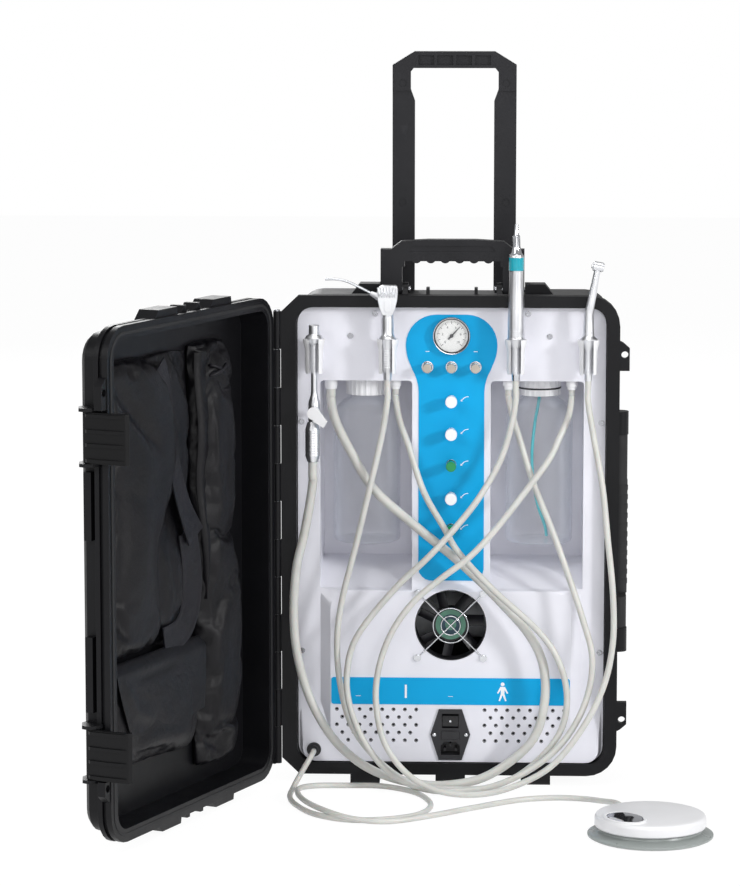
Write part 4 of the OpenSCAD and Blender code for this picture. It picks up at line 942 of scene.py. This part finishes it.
class UNIT_OT_bags(bpy.types.Operator):
    """Makes the strap bag, the rolled bag and the flap pouch in the lid"""

    bl_idname = "unit.bags"
    bl_label = "Bags"

    def execute(self, context):
        self.strap_bag()
        self.rolled_bag()
        self.pouch()
        return {"FINISHED"}

    # Left edge of the strap bag's upper layer as (z, u), and each fold as its line of (u, z),
    # its width and its height, all in mm
    EDGE = [(225, 286), (252, 277), (285, 285), (322, 291), (350, 288), (379, 267), (408, 246),
            (439, 242), (468, 245), (505, 253), (530, 263), (555, 281), (571, 301), (590, 330)]
    FOLDS = [([(392, 556), (282, 457)], 9, -11), ([(388, 574), (330, 566), (280, 500)], 12, 4),
             ([(340, 520), (322, 440), (330, 330), (320, 240)], 22, 5),
             ([(386, 480), (372, 380), (380, 260)], 12, -5),
             ([(262, 540), (232, 470), (226, 400), (205, 340)], 12, 4),
             ([(262, 350), (252, 300), (243, 240)], 11, 6), ([(228, 340), (222, 250)], 9, 4),
             ([(396, 430), (350, 415), (300, 400)], 9, -2), ([(396, 300), (340, 290)], 8, -2),
             ([(390, 245), (320, 238), (280, 262)], 9, 3)]
    STRAPS = {
        "strap_bag_shoulder_strap": [
            (276, 24, 560, -8), (271, 26, 550, -10), (264, 26, 538, -14), (254, 24, 515, -16),
            (246, 22, 474, -14), (232, 23, 418, -10), (214, 25, 376, -6), (194, 27, 344, 4)],
        "strap_bag_lower_strap": [
            (206, 22, 352, 6), (197, 22, 312, 10), (196, 22, 278, 12), (206, 22, 248, 10),
            (228, 21, 230, 6), (262, 20, 225, 2)]}
    # Long folds of the roll, then its bunched upper end and its gathered lower one
    ROLL_FOLDS = [([(150, 520), (140, 380), (146, 240), (138, 110)], 7, 3),
                  ([(104, 500), (112, 400), (98, 335)], 8, 3.5),
                  ([(98, 330), (90, 230), (96, 100)], 9, 4),
                  ([(122, 330), (72, 338)], 4, -5), ([(146, 345), (100, 318)], 5, -2.5),
                  ([(150, 556), (112, 522), (92, 560)], 9, 6),
                  ([(158, 540), (128, 560), (100, 568)], 6, -5),
                  ([(160, 110), (140, 76), (100, 64)], 7, -6),
                  ([(158, 86), (120, 96), (80, 84)], 8, 5)]
    POUCH_FOLDS = [([(380, 130), (330, 100), (250, 96)], 9, -4),
                   ([(360, 110), (300, 118), (200, 108)], 10, 3),
                   ([(200, 200), (196, 100)], 9, -3)]
    FLAP_FOLDS = [([(380, 205), (350, 160), (300, 140)], 9, 3.0),
                  ([(350, 196), (240, 200)], 6, -2.5)]

    def strap_bag(self):
        def place(s, q):
            across, rise = bulge(s, 5.0)
            up, crest = bulge(q, 6.0)
            u, z = 286 + 110 * across, 399 + 176 * up - (4 if up > 0.9 else 0)
            edge = along(self.EDGE, z)
            step = 1 / (1 + math.exp(-(u - edge + 4) / 4.5))
            high = 11 + 13.5 * step + 1.5 * math.sin(u / 23 + z / 61) + math.sin(z / 37 - u / 40)
            high = folded(high, self.FOLDS, u, z)
            return in_lid(u, max(1, high) * rise * crest, z)

        shape = close_back(cloth_grid(74, 118, place))
        made = finish_bag("strap_bag_cloth", shape, "strap_bag")
        width = sizes().strap_width / MM
        for name, line in self.STRAPS.items():
            sew(webbing(name, line, width, "strap_bag"), made)

    def rolled_bag(self):
        left = [(50, 160), (108, 162), (211, 160), (273, 161), (356, 166), (438, 168), (577, 172)]
        right = [(50, 66), (130, 61), (236, 64), (323, 77), (365, 80), (447, 77), (529, 78),
                 (577, 86)]

        def place(s, q):
            across, rise = bulge(s, 2.6)
            up, crest = bulge(q, 5.5)
            z = 312 + 262 * up
            a, b = along(left, z), along(right, z)
            u = (a + b) / 2 + (a - b) / 2 * across
            high = folded(28 * rise, self.ROLL_FOLDS, u, z)
            high += 0.5 * math.sin(z / 23 + u / 11) * rise
            return in_lid(u, max(0.8, high) * crest, z)

        shape = close_back(cloth_grid(40, 190, place))
        made = finish_bag("rolled_bag_cloth", shape, "rolled_bag")

        def hem(s, q):
            z = 412 + 152 * s
            a = along(left, z)
            wide = 20 * min(1, (1.08 + s) * 0.9)
            u = a - 8 + q * wide / 2
            return in_lid(u, 22 + 2 * math.sin(z / 23) - 5 * max(0, q) ** 2, z)

        body = NODES["rolled_bag"]["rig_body"]
        flat = close_back(cloth_grid(70, 8, hem), 1.3)
        sew(piece("rolled_bag_hem", flat, ["fabric"], body, smooth=60), made)
        # The tie round the bunched end: two loops that lean apart
        knot = bmesh.new()
        for lean, size in ((18, 1.0), (-24, 0.9)):
            ring = turned(ring_points(10, 2.2 * size, 0, 360, 14 * size), 28)
            bmesh.ops.scale(ring, vec=(1.25, 0.62, 1), verts=ring.verts)
            join(knot, move(ring, turn=Matrix.Rotation(math.radians(lean), 3, "Y")))
        placed(knot, Matrix.Translation(in_lid(131, 23, 540)) @ LID.to_3x3().to_4x4())
        sew(piece("rolled_bag_tie", knot, ["webbing"], body, smooth=60), made)

    def pouch(self):
        def place(s, q):
            across, rise = bulge(s, 5.0)
            up, crest = bulge(q, 4.5)
            u, z = 284 + 111 * across, 150 + 64 * up
            high = 24 + 1.5 * math.sin(u / 31) - 0.02 * (z - 150)
            high = folded(high, self.POUCH_FOLDS, u, z)
            return in_lid(u, max(1, high) * rise * crest, z)

        shape = close_back(cloth_grid(60, 40, place))
        made = finish_bag("pouch_cloth", shape, "pouch")

        def flap(s, q):
            """Falls over the front, with its free corner drawn in."""
            fall = (1 - q) / 2
            slant = 26 * fall ** 1.5 * max(0, s)
            u = 285 + s * (111 - 6 * fall) - slant
            low = 128 + 5 * math.sin(s * 4.0) + 9 * max(0, s) ** 3
            z = 219 - (219 - low) * fall
            over = min(1, fall / 0.16)
            t = 19 + 10.5 * math.sin(over * math.pi / 2) + 1.4 * math.sin(s * 6 + fall * 3) * fall
            return in_lid(u, folded(t, self.FLAP_FOLDS, u, z), z)

        sheet = close_back(cloth_grid(60, 34, flap), 1.4)
        cover = piece("pouch_flap", sheet, ["fabric"], NODES["pouch"]["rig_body"],
                      smooth=60)


class UNIT_OT_case(bpy.types.Operator):
    """Rounds the case, its lid, latches, handles, wheels and pins"""

    bl_idname = "unit.case"
    bl_label = "Case"

    def execute(self, context):
        edge = sizes().case_edge
        for node, radius, segments in (
                ("base_shell", edge, 3), ("lid_shell", edge, 3), ("lid_gasket", 0.0004, 2),
                ("latch_upper", 0.0008, 2), ("latch_lower", 0.0008, 2),
                ("trolley_handle", 0.0018, 3), ("carry_handle", 0.0022, 3),
                ("side_handle", 0.0008, 2), ("steel_pins", 0.0004, 2),
                ("wheel_left", 0.0006, 2), ("wheel_right", 0.0006, 2)):
            rounded_copy(node, radius, segments)
        return {"FINISHED"}


class UNIT_OT_console(bpy.types.Operator):
    """Rounds the moulded console, its fittings, screws and controls"""

    bl_idname = "unit.console"
    bl_label = "Console"

    def execute(self, context):
        bay = sizes().bay_edge
        rounded_copy("console_panel", 0.0006, 2, steps=[(bay, 4, self.is_mouth)])
        self.hole_rims()
        self.inlet_parts()
        rounded_copy("hose_fittings", 0.0006, also=[("black", lambda at: at.z < 70)])
        rounded_copy("bottle_caps", 0.0005)
        seal = turned([(25, 497), (26.9, 497), (27.1, 497.3), (27.1, 498.7), (26.9, 499),
                       (25, 499), (25, 497)], 64)
        piece("water_cap_seal", move(seal, BOTTLE_X[1], BOTTLE_Y), ["black"], "base")
        for node, radius in (
                ("valve_bushes", 0.0003), ("fan_frame", 0.0006), ("fan_rotor", 0.0004),
                ("power_inlet", 0.0004), ("rocker_switch", 0.0004), ("fuse_drawer", 0.0003),
                ("instrument_holders", 0.0006), ("panel_screws", 0.0003)):
            rounded_copy(node, radius)
        for i in range(1, 6):
            rounded_copy(f"flow_knob_{i}", 0.0008, 3)
        for i in range(1, 4):
            rounded_copy(f"regulator_knob_{i}", 0.0004, 2)
        return {"FINISHED"}

    @staticmethod
    def is_mouth(edge):
        """Whether an edge is on the mouth of a bay or on the front of the raised block."""
        middle = (edge.verts[0].co + edge.verts[1].co) / 2 / MM
        level = min(abs(middle.y - PANEL_Y), abs(middle.y - FACE_Y)) < 0.2
        inside = abs(middle.x) < 188 and 29 < middle.z < 560
        at_controls = middle.z > 520 or abs(middle.x) < 48 and middle.z > 140
        at_inlet = abs(middle.x) < 30 and middle.z < 100
        return (level and inside and not at_controls and not at_inlet
                and edge.calc_length() > 0.0008)

    @staticmethod
    def hole_rims():
        """A black ring round each air hole, in five staggered rows on each side of the inlet:
        painted shade that makes each hole's dark opening look wider.
        """
        first, stagger, pitch = 43, 7.5, 14.3
        top, drop = 95, 9.9
        painted_shade_rings = bmesh.new()
        for side in (-1, 1):
            for row in range(5):
                for k in range(8 - row % 2):
                    painted_shade_ring = turned([(1.75, 0.08), (2.3, 0.08), (2.38, 0), (2.38, -0.3),
                                  (1.75, -0.3), (1.75, 0.08)], 16)
                    join(painted_shade_rings, move(painted_shade_ring, side * (first + row % 2 * stagger + k * pitch), FACE_Y,
                                    top - row * drop, turn=FACING))
        # The black rings are painted shade, standing in for the shade inside wider holes.
        piece("air_hole_painted_shade", painted_shade_rings, ["black"], "base", weighted=False)

    @staticmethod
    def inlet_parts():
        """The inlet's two screws, and the light mark on its rocker."""
        heads = bmesh.new()
        for x in (-20, 20):
            head = turned([(0, 0.9), (1.2, 0.9), (2.2, 0.6), (2.5, 0), (2.5, -0.6), (0, -0.6)], 28)
            join(heads, move(head, x, 0.35, INLET_Z, turn=FACING))
        piece("inlet_screws", heads, ["chrome"], "base")
        dot = turned([(0, 0.3), (1.1, 0.3), (1.3, 0), (1.3, -1.2), (0, -1.2)], 24)
        move(dot, 0, -0.9, INLET_Z + 17.6, turn=FACING)
        piece("rocker_mark", dot, ["white_ink"], NODES["rocker_switch"]["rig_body"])


class UNIT_OT_gauge(bpy.types.Operator):
    """Makes the pressure gauge: bezel, dial with plain numbers, needle and window"""

    bl_idname = "unit.gauge"
    bl_label = "Gauge"

    def execute(self, context):
        bezel = turned([(0, -10.7), (20.6, -10.7), (20.6, -7.4), (21.3, -6.7), (21.5, -5.4),
                        (22, -4.8), (22.6, -4.7), (23.1, -5.1), (23.5, -6), (23.5, -13.2),
                        (20, -13.6), (20, -43.6), (19.6, -44), (5.4, -44), (5, -44.4),
                        (5, -51.6), (4.6, -52), (0, -52)], 72)
        for face in bezel.faces:
            at = face.calc_center_median() / MM
            if math.hypot(at.x, at.y) < 21.9 and at.z > -10:
                face.material_index = 1
        move(bezel, z=GAUGE_Z, turn=FACING)
        piece("gauge_bezel", bezel, ["chrome", "black"], "base", ["gauge_case"])
        dial = turned([(1.05, -9.8), (20.3, -9.8), (20.5, -10), (20.5, -10.6), (1.05, -10.6)], 64)
        move(dial, z=GAUGE_Z, turn=FACING)
        piece("gauge_face", dial, ["dial"], "base", ["gauge_dial"])
        self.print_dial()
        rounded_copy("gauge_needle", 0.00015)
        window = turned([(0, -5.6), (12, -5.65), (20.1, -5.9), (20.5, -6.1), (20.5, -6.6),
                         (0, -6.6)], 64)
        move(window, z=GAUGE_Z, turn=FACING)
        piece("gauge_window", window, ["lens"], "base", ["gauge_lens"], weighted=False)
        return {"FINISHED"}

    @staticmethod
    def print_dial():
        """Fifty spaces over 270 degrees from the lower left, with even numbers from 0 to 10."""
        start, space, outer = 225, 5.4, 18.4
        marks = bmesh.new()
        for i in range(51):
            turn = math.radians(start - space * i)
            inner, half = (14.6, 0.32) if i % 5 == 0 else (16.6, 0.14)
            across, up = math.cos(turn), math.sin(turn)
            join(marks, plate([(across * r - up * w, up * r + across * w)
                               for r, w in ((inner, -half), (outer, -half), (outer, half),
                                            (inner, half))], 0.1))
        for i in range(0, 11, 2):
            turn = math.radians(start - 5 * space * i)
            letters = bpy.data.curves.new("number", "FONT")
            letters.body, letters.size = str(i), 4.2 * MM
            letters.align_x, letters.align_y = "CENTER", "CENTER"
            holder = bpy.data.objects.new("number", letters)
            bpy.context.scene.collection.objects.link(holder)
            graph = bpy.context.evaluated_depsgraph_get()
            mesh = bpy.data.meshes.new_from_object(holder.evaluated_get(graph))
            number = bmesh.new()
            number.from_mesh(mesh)
            bpy.data.objects.remove(holder)
            bpy.data.meshes.remove(mesh)
            move(number, turn=FACING)
            join(marks, move(number, 11.4 * math.cos(turn), 0, 11.4 * math.sin(turn)))
        piece("gauge_print", move(marks, 0, 9.66, GAUGE_Z), ["ink"], "base")


class UNIT_OT_prints(bpy.types.Operator):
    """Prints the generic marks: knob arrows, band marks and the disc on the fan's hub"""

    bl_idname = "unit.prints"
    bl_label = "Prints"

    def execute(self, context):
        marks = bmesh.new()

        def mark(outline, y, z=0):
            join(marks, move(plate(outline, INK), 0, y, z))

        arc = ring_points(10, 9.3, 158, 88, 21, -4.5) + ring_points(10, 8.5, 88, 158, 21, -4.5)
        for z in KNOB_Z:
            mark(arc, LABEL_Y, z)
            mark([(11.4, -1.4), (13.8, -1.6), (12.2, 1.4)], LABEL_Y, z)
        for x in (-30, 0, 30):
            mark([(x - 2.4, 547.5), (x + 2.4, 547.5), (x + 2.4, 548.3), (x - 2.4, 548.3)],
                 LABEL_Y)
        # The band carries a bar, the body of a standing figure, its head and three dashes
        band = [[(-57.4, 110), (-54.8, 110), (-54.8, 127), (-57.4, 127)],
                [(62.8, 125.2), (68.4, 125.2), (72.6, 117.2), (71.2, 116.4), (68, 121),
                 (67.9, 116), (70.6, 107.2), (68.8, 106.8), (65.6, 114.4), (62.4, 106.8),
                 (60.6, 107.2), (63.3, 116), (63.2, 121), (60, 116.4), (58.6, 117.2)]]
        for x in (-116, 0, 122):
            band.append([(x - 3, 112), (x + 3, 112), (x + 3, 112.6), (x - 3, 112.6)])
        for outline in (*band, ring_points(20, 2.4, 0, 342, 65.6, 128.4)):
            mark(outline, BAND_Y)
        piece("label_prints", marks, ["white_ink"], "base")
        disc = turned([(0, -10.3), (6.8, -10.3), (7, -10.3), (12.8, -10.3), (13, -10.3),
                       (18.8, -10.3), (19, -10.36), (19, -10.5), (0, -10.5)], 56)
        for face in disc.faces:
            at = face.calc_center_median() / MM
            radius = math.hypot(at.x, at.y)
            face.material_index = 0 if radius <= 6.9 else 1 if radius < 12.9 else 2
        move(disc, z=FAN_Z, turn=FACING)
        piece("fan_hub_disc", disc, ["hub_green", "hub_blue", "hub_green"],
              NODES["fan_rotor"]["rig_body"])
        return {"FINISHED"}


class UNIT_OT_instruments(bpy.types.Operator):
    """Turns the suction handpiece, the syringe and the two driven handpieces"""

    bl_idname = "unit.instruments"
    bl_label = "Instruments"

    def execute(self, context):
        self.suction()
        self.syringe()
        self.low_speed()
        self.high_speed()
        return {"FINISHED"}

    @staticmethod
    def suction():
        x = HOLDER_X[0]
        body = turned([(0, 462.2), (6.6, 462.2), (7, 462.8), *ribs(7.5, 466, 483, 2.6, 0.25),
                       (7, 487), (5.4, 492.5), (4.4, 496), (4, 500), (3.8, 510), (3.8, 556),
                       (4.2, 558), (5, 559.4), *COLLAR, (9.4, 570), (6.8, 571.8), (6.6, 572.4),
                       (6.6, 582.4), (6.2, 583), (5, 583), (5, 569), (0, 569)])
        foot = turned([(0, 412), (6.2, 412), (6.8, 412.6), (8, 416), (9, 419),
                       *ribs(9.3, 420, 449, 3.2, 0.3), (9.3, 452), (7.8, 457.6), (6.2, 462.4),
                       (0, 462.6)])
        join(move(body, x, HOLDER_Y), move(foot, x - 2, HOLDER_Y))
        piece("suction_body", body, ["satin_metal"], NODES["suction_handpiece"]["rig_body"],
              ["suction_handpiece"])
        rounded_copy("suction_lever", 0.0007, 3)

    @staticmethod
    def syringe():
        x, body_name = HOLDER_X[1], NODES["syringe"]["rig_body"]
        body = turned([(0, 515), (4.6, 515), (5, 515.4), (5.2, 524), (6.6, 528),
                       *ribs(6.8, 530, 554, 3, 0.3), *COLLAR, (9.4, 569), (7.7, 572),
                       (7.6, 580), (7.5, 592), (7.1, 593), (7.1, 594.4), (7.5, 595.4),
                       (7.4, 599.6), (7, 600), (0, 600)])
        move(body, x, HOLDER_Y)
        head = plate([(-6.5, 596), (-9.6, 604), (-12, 614), (-13, 621), (-12.8, 626),
                      (-10.6, 630.6), (-7, 632.8), (10, 632.8), (12.2, 631), (13, 627),
                      (12.6, 620), (12, 614), (9.6, 604), (6.5, 596)], 15)
        round_edges(head, 1.6 * MM, 3)
        join(body, move(head, x, HOLDER_Y - 7.5))
        for i in range(-3, 4):
            rib = turned([(0, 0), (0.9, 0.2), (1.3, 1), (1.3, 12), (0.9, 12.8), (0, 13)], 16)
            join(body, placed(rib, shift(x + i * 3.2, HOLDER_Y - 7.4, 618) @ tilt(i * 3)))
        front = plate(ring_points(8, 4, 180, 360, 0, 604) + ring_points(8, 4, 0, 180, 0, 612), 1.4)
        round_edges(front, 0.5 * MM, 2)
        join(body, move(front, x, HOLDER_Y - 8.7))
        cone = turned([(0, 0), (4.6, 0), (4.6, 3), (4, 4), (4, 5), (3.4, 8), (2.8, 12),
                       (0, 12)], 32)
        join(body, placed(cone, shift(x - 10, HOLDER_Y, 618) @ tilt(-65)))
        piece("syringe_body", body, ["satin_metal"], body_name, ["syringe"])
        line = [(x - out, HOLDER_Y, z) for out, z in (
            (10, 618), (18, 622), (36, 631), (52, 638), (64, 640.2), (77, 640))]
        nozzle = tube("syringe_nozzle", line, "chrome", 1.6 * MM, 4, 8)
        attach(nozzle, body_name)
        for button in ("syringe_air_button", "syringe_water_button"):
            rounded_copy(button, 0.0005, 3, finish="chrome")

    @staticmethod
    def low_speed():
        body = turned([(0, 515), (4.7, 515), (5, 515.4), (5.4, 522),
                       *ribs(5.4, 524, 532, 2, 0.25), (5.4, 556), (6.4, 557), *COLLAR,
                       (10.3, 568.5), (10.4, 571),
                       *ribs(10.4, 572, 580, 2, 0.25), (10.3, 596), (10.2, 606), (9.9, 606.6),
                       (9.9, 607.6), (10.1, 608.2), (8.8, 632), (8.6, 650), (8.9, 651.6),
                       (9.3, 652), (9.3, 668), (8.9, 670.4), (8.4, 671), (6.4, 674), (4.8, 682),
                       (4.6, 694), (3, 696), (2.2, 708), (1.8, 709), (0, 709)])
        zones(body, [(651.8, 668.8, 1), (671.4, 800, 2), (500, 523, 2)])
        move(body, HOLDER_X[2], HOLDER_Y)
        piece("low_speed_body", body, ["satin_metal", "ring", "chrome"],
              NODES["low_speed_handpiece"]["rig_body"], ["low_speed_handpiece"])

    @staticmethod
    def high_speed():
        x = HOLDER_X[3]
        body = turned([(0, 515), (4.2, 515), (4.4, 515.3), (4.8, 522),
                       *ribs(4.8, 524, 532, 2, 0.25), (4.8, 553), (6, 556), *COLLAR,
                       (9.2, 568.6), (6.9, 571),
                       *ribs(6.8, 573, 580, 1.8, 0.25), (6.4, 584), (5.9, 594), (5.6, 602),
                       (0, 602)])
        move(body, x, HOLDER_Y)
        bend = shift(x + 0.1, HOLDER_Y, 598) @ tilt(10.5)
        neck = turned([(0, 0), (5.6, 0), (5.2, 14), (4.7, 30), (4.2, 44), (3.9, 56), (0, 56)])
        head = turned([(0, -8), (3.1, -8), (3.4, -7.7), (3.4, -6.2), (5.5, -6), (6, -5.5),
                       (6, -2), (5.8, -1.7), (5.8, -1.3), (6, -1), (6, 5.4), (5.6, 5.9), (5, 6),
                       (5, 7.1), (4.6, 7.5), (0, 7.5)])
        join(body, placed(neck, bend), placed(head, bend @ shift(0, 0, 60) @ tilt(90)))
        piece("high_speed_body", body, ["satin_metal"],
              NODES["high_speed_handpiece"]["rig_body"], ["high_speed_handpiece"])


class UNIT_OT_bottles(bpy.types.Operator):
    """Blows the two clear bottles"""

    bl_idname = "unit.bottles"
    bl_label = "Bottles"

    def execute(self, context):
        for node, x in zip(("waste_bottle", "water_bottle"), BOTTLE_X):
            outer = [(0, 305), (14, 304), (30, 302.4), (37, 302), (40.6, 303.6), (42, 307),
                     (42, 452), (41.6, 460), (40, 468), (36.5, 475), (31, 480.5), (25, 484),
                     (22.4, 487), (22.3, 506.5)]
            inner = [(20.8, 506.5), (20.8, 487), (23.6, 482.6), (30, 479), (35.2, 474),
                     (38.4, 467), (40, 459.5), (40.3, 452), (40.3, 308.4), (39, 305.4),
                     (36, 303.8), (30, 304.4), (14, 306), (0, 307)]
            shape = turned(outer + inner, 64)
            move(shape, x, BOTTLE_Y)
            piece(node + "_blown", shape, ["bottle"], NODES[node]["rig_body"], [node],
                  smooth=60, weighted=False)
        return {"FINISHED"}


class UNIT_OT_pedal(bpy.types.Operator):
    """Rounds the foot control"""

    bl_idname = "unit.pedal"
    bl_label = "Foot control"

    def execute(self, context):
        rounded_copy("pedal_base", 0.0008, 2)
        rounded_copy("pedal_cover", 0.002, 3, smooth=50)
        self.mirror()
        return {"FINISHED"}

    @staticmethod
    def mirror():
        """A raised oval mirror that follows the cover's dome, with a white rim."""
        turn, middle = math.radians(226), 45  # where it lies, as seen from the dome's middle
        tangent, radial = 31, 19  # its half axes
        rise, glass, highest = 1.1, 0.84, 32.4
        rings = [(0, rise), (0.4, rise), (0.78, rise), (glass, rise), (0.88, rise + 0.7),
                 (0.94, rise + 0.8), (0.98, rise + 0.2), (1.0, -0.4)]
        dome = [(0, 32), (36, 31), (60, 28.6), (64.6, 27), (66.5, 24), (90, 24)]
        unit = 10  # radius in mm of the round disc that is stretched to the oval
        oval = turned([(share * unit, 0) for share, _ in rings], 56)

        def level(table, at, slack=0.0):
            """Value of a table of (place, value) pairs, straight between them."""
            return next(first + (second - first) * (at - low) / (high - low)
                        for (low, first), (high, second) in zip(table, table[1:])
                        if at <= high + slack)

        for vert in oval.verts:
            share = min(1, math.hypot(vert.co.x, vert.co.y) / (unit * MM))
            across = vert.co.y / (unit * MM) * tangent
            out = middle + vert.co.x / (unit * MM) * radial
            x = out * math.cos(turn) - across * math.sin(turn)
            y = out * math.sin(turn) + across * math.cos(turn)
            z = level(dome, math.hypot(x, y)) + level(rings, share, 1e-4)
            vert.co = Vector((PEDAL[0] + x, PEDAL[1] + y, min(z, highest))) * MM
        bmesh.ops.recalc_face_normals(oval, faces=oval.faces)
        if sum(f.normal.z for f in oval.faces) < 0:
            bmesh.ops.reverse_faces(oval, faces=oval.faces)
        for face in oval.faces:
            at = face.calc_center_median() / MM
            x, y = at.x - PEDAL[0], at.y - PEDAL[1]
            out = x * math.cos(turn) + y * math.sin(turn) - middle
            across = -x * math.sin(turn) + y * math.cos(turn)
            face.material_index = math.hypot(out / radial, across / tangent) > glass
        piece("pedal_mirror", oval, ["mirror", "white_plastic"],
              NODES["pedal_cover"]["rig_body"], weighted=False)


STEPS = (UNIT_OT_finishes, UNIT_OT_stage, UNIT_OT_hoses, UNIT_OT_bags, UNIT_OT_case,
         UNIT_OT_console, UNIT_OT_gauge, UNIT_OT_prints, UNIT_OT_instruments, UNIT_OT_bottles,
         UNIT_OT_pedal)


class UNIT_PT_panel(bpy.types.Panel):
    """Lists the build's steps in the sidebar"""

    bl_idname = "UNIT_PT_panel"
    bl_label = "Portable Dental Unit"
    bl_space_type = "VIEW_3D"
    bl_region_type = "UI"
    bl_category = "Dental Unit"

    def draw(self, context):
        for group in (context.scene.dental_unit_colours, context.scene.dental_unit_sizes):
            for name in group.__annotations__:
                self.layout.prop(group, name)
        for step in STEPS:
            self.layout.operator(step.bl_idname)


CLASSES = (DentalUnitColours, DentalUnitSizes, *STEPS, UNIT_PT_panel)


def register():
    for each in CLASSES:
        bpy.utils.register_class(each)
    bpy.types.Scene.dental_unit_colours = bpy.props.PointerProperty(type=DentalUnitColours)
    bpy.types.Scene.dental_unit_sizes = bpy.props.PointerProperty(type=DentalUnitSizes)


def unregister():
    del bpy.types.Scene.dental_unit_colours
    del bpy.types.Scene.dental_unit_sizes
    for each in reversed(CLASSES):
        bpy.utils.unregister_class(each)


def main():
    register()
    for step in STEPS:
        group, name = step.bl_idname.split(".")
        getattr(getattr(bpy.ops, group), name)()


if __name__ == "__main__":
    main()
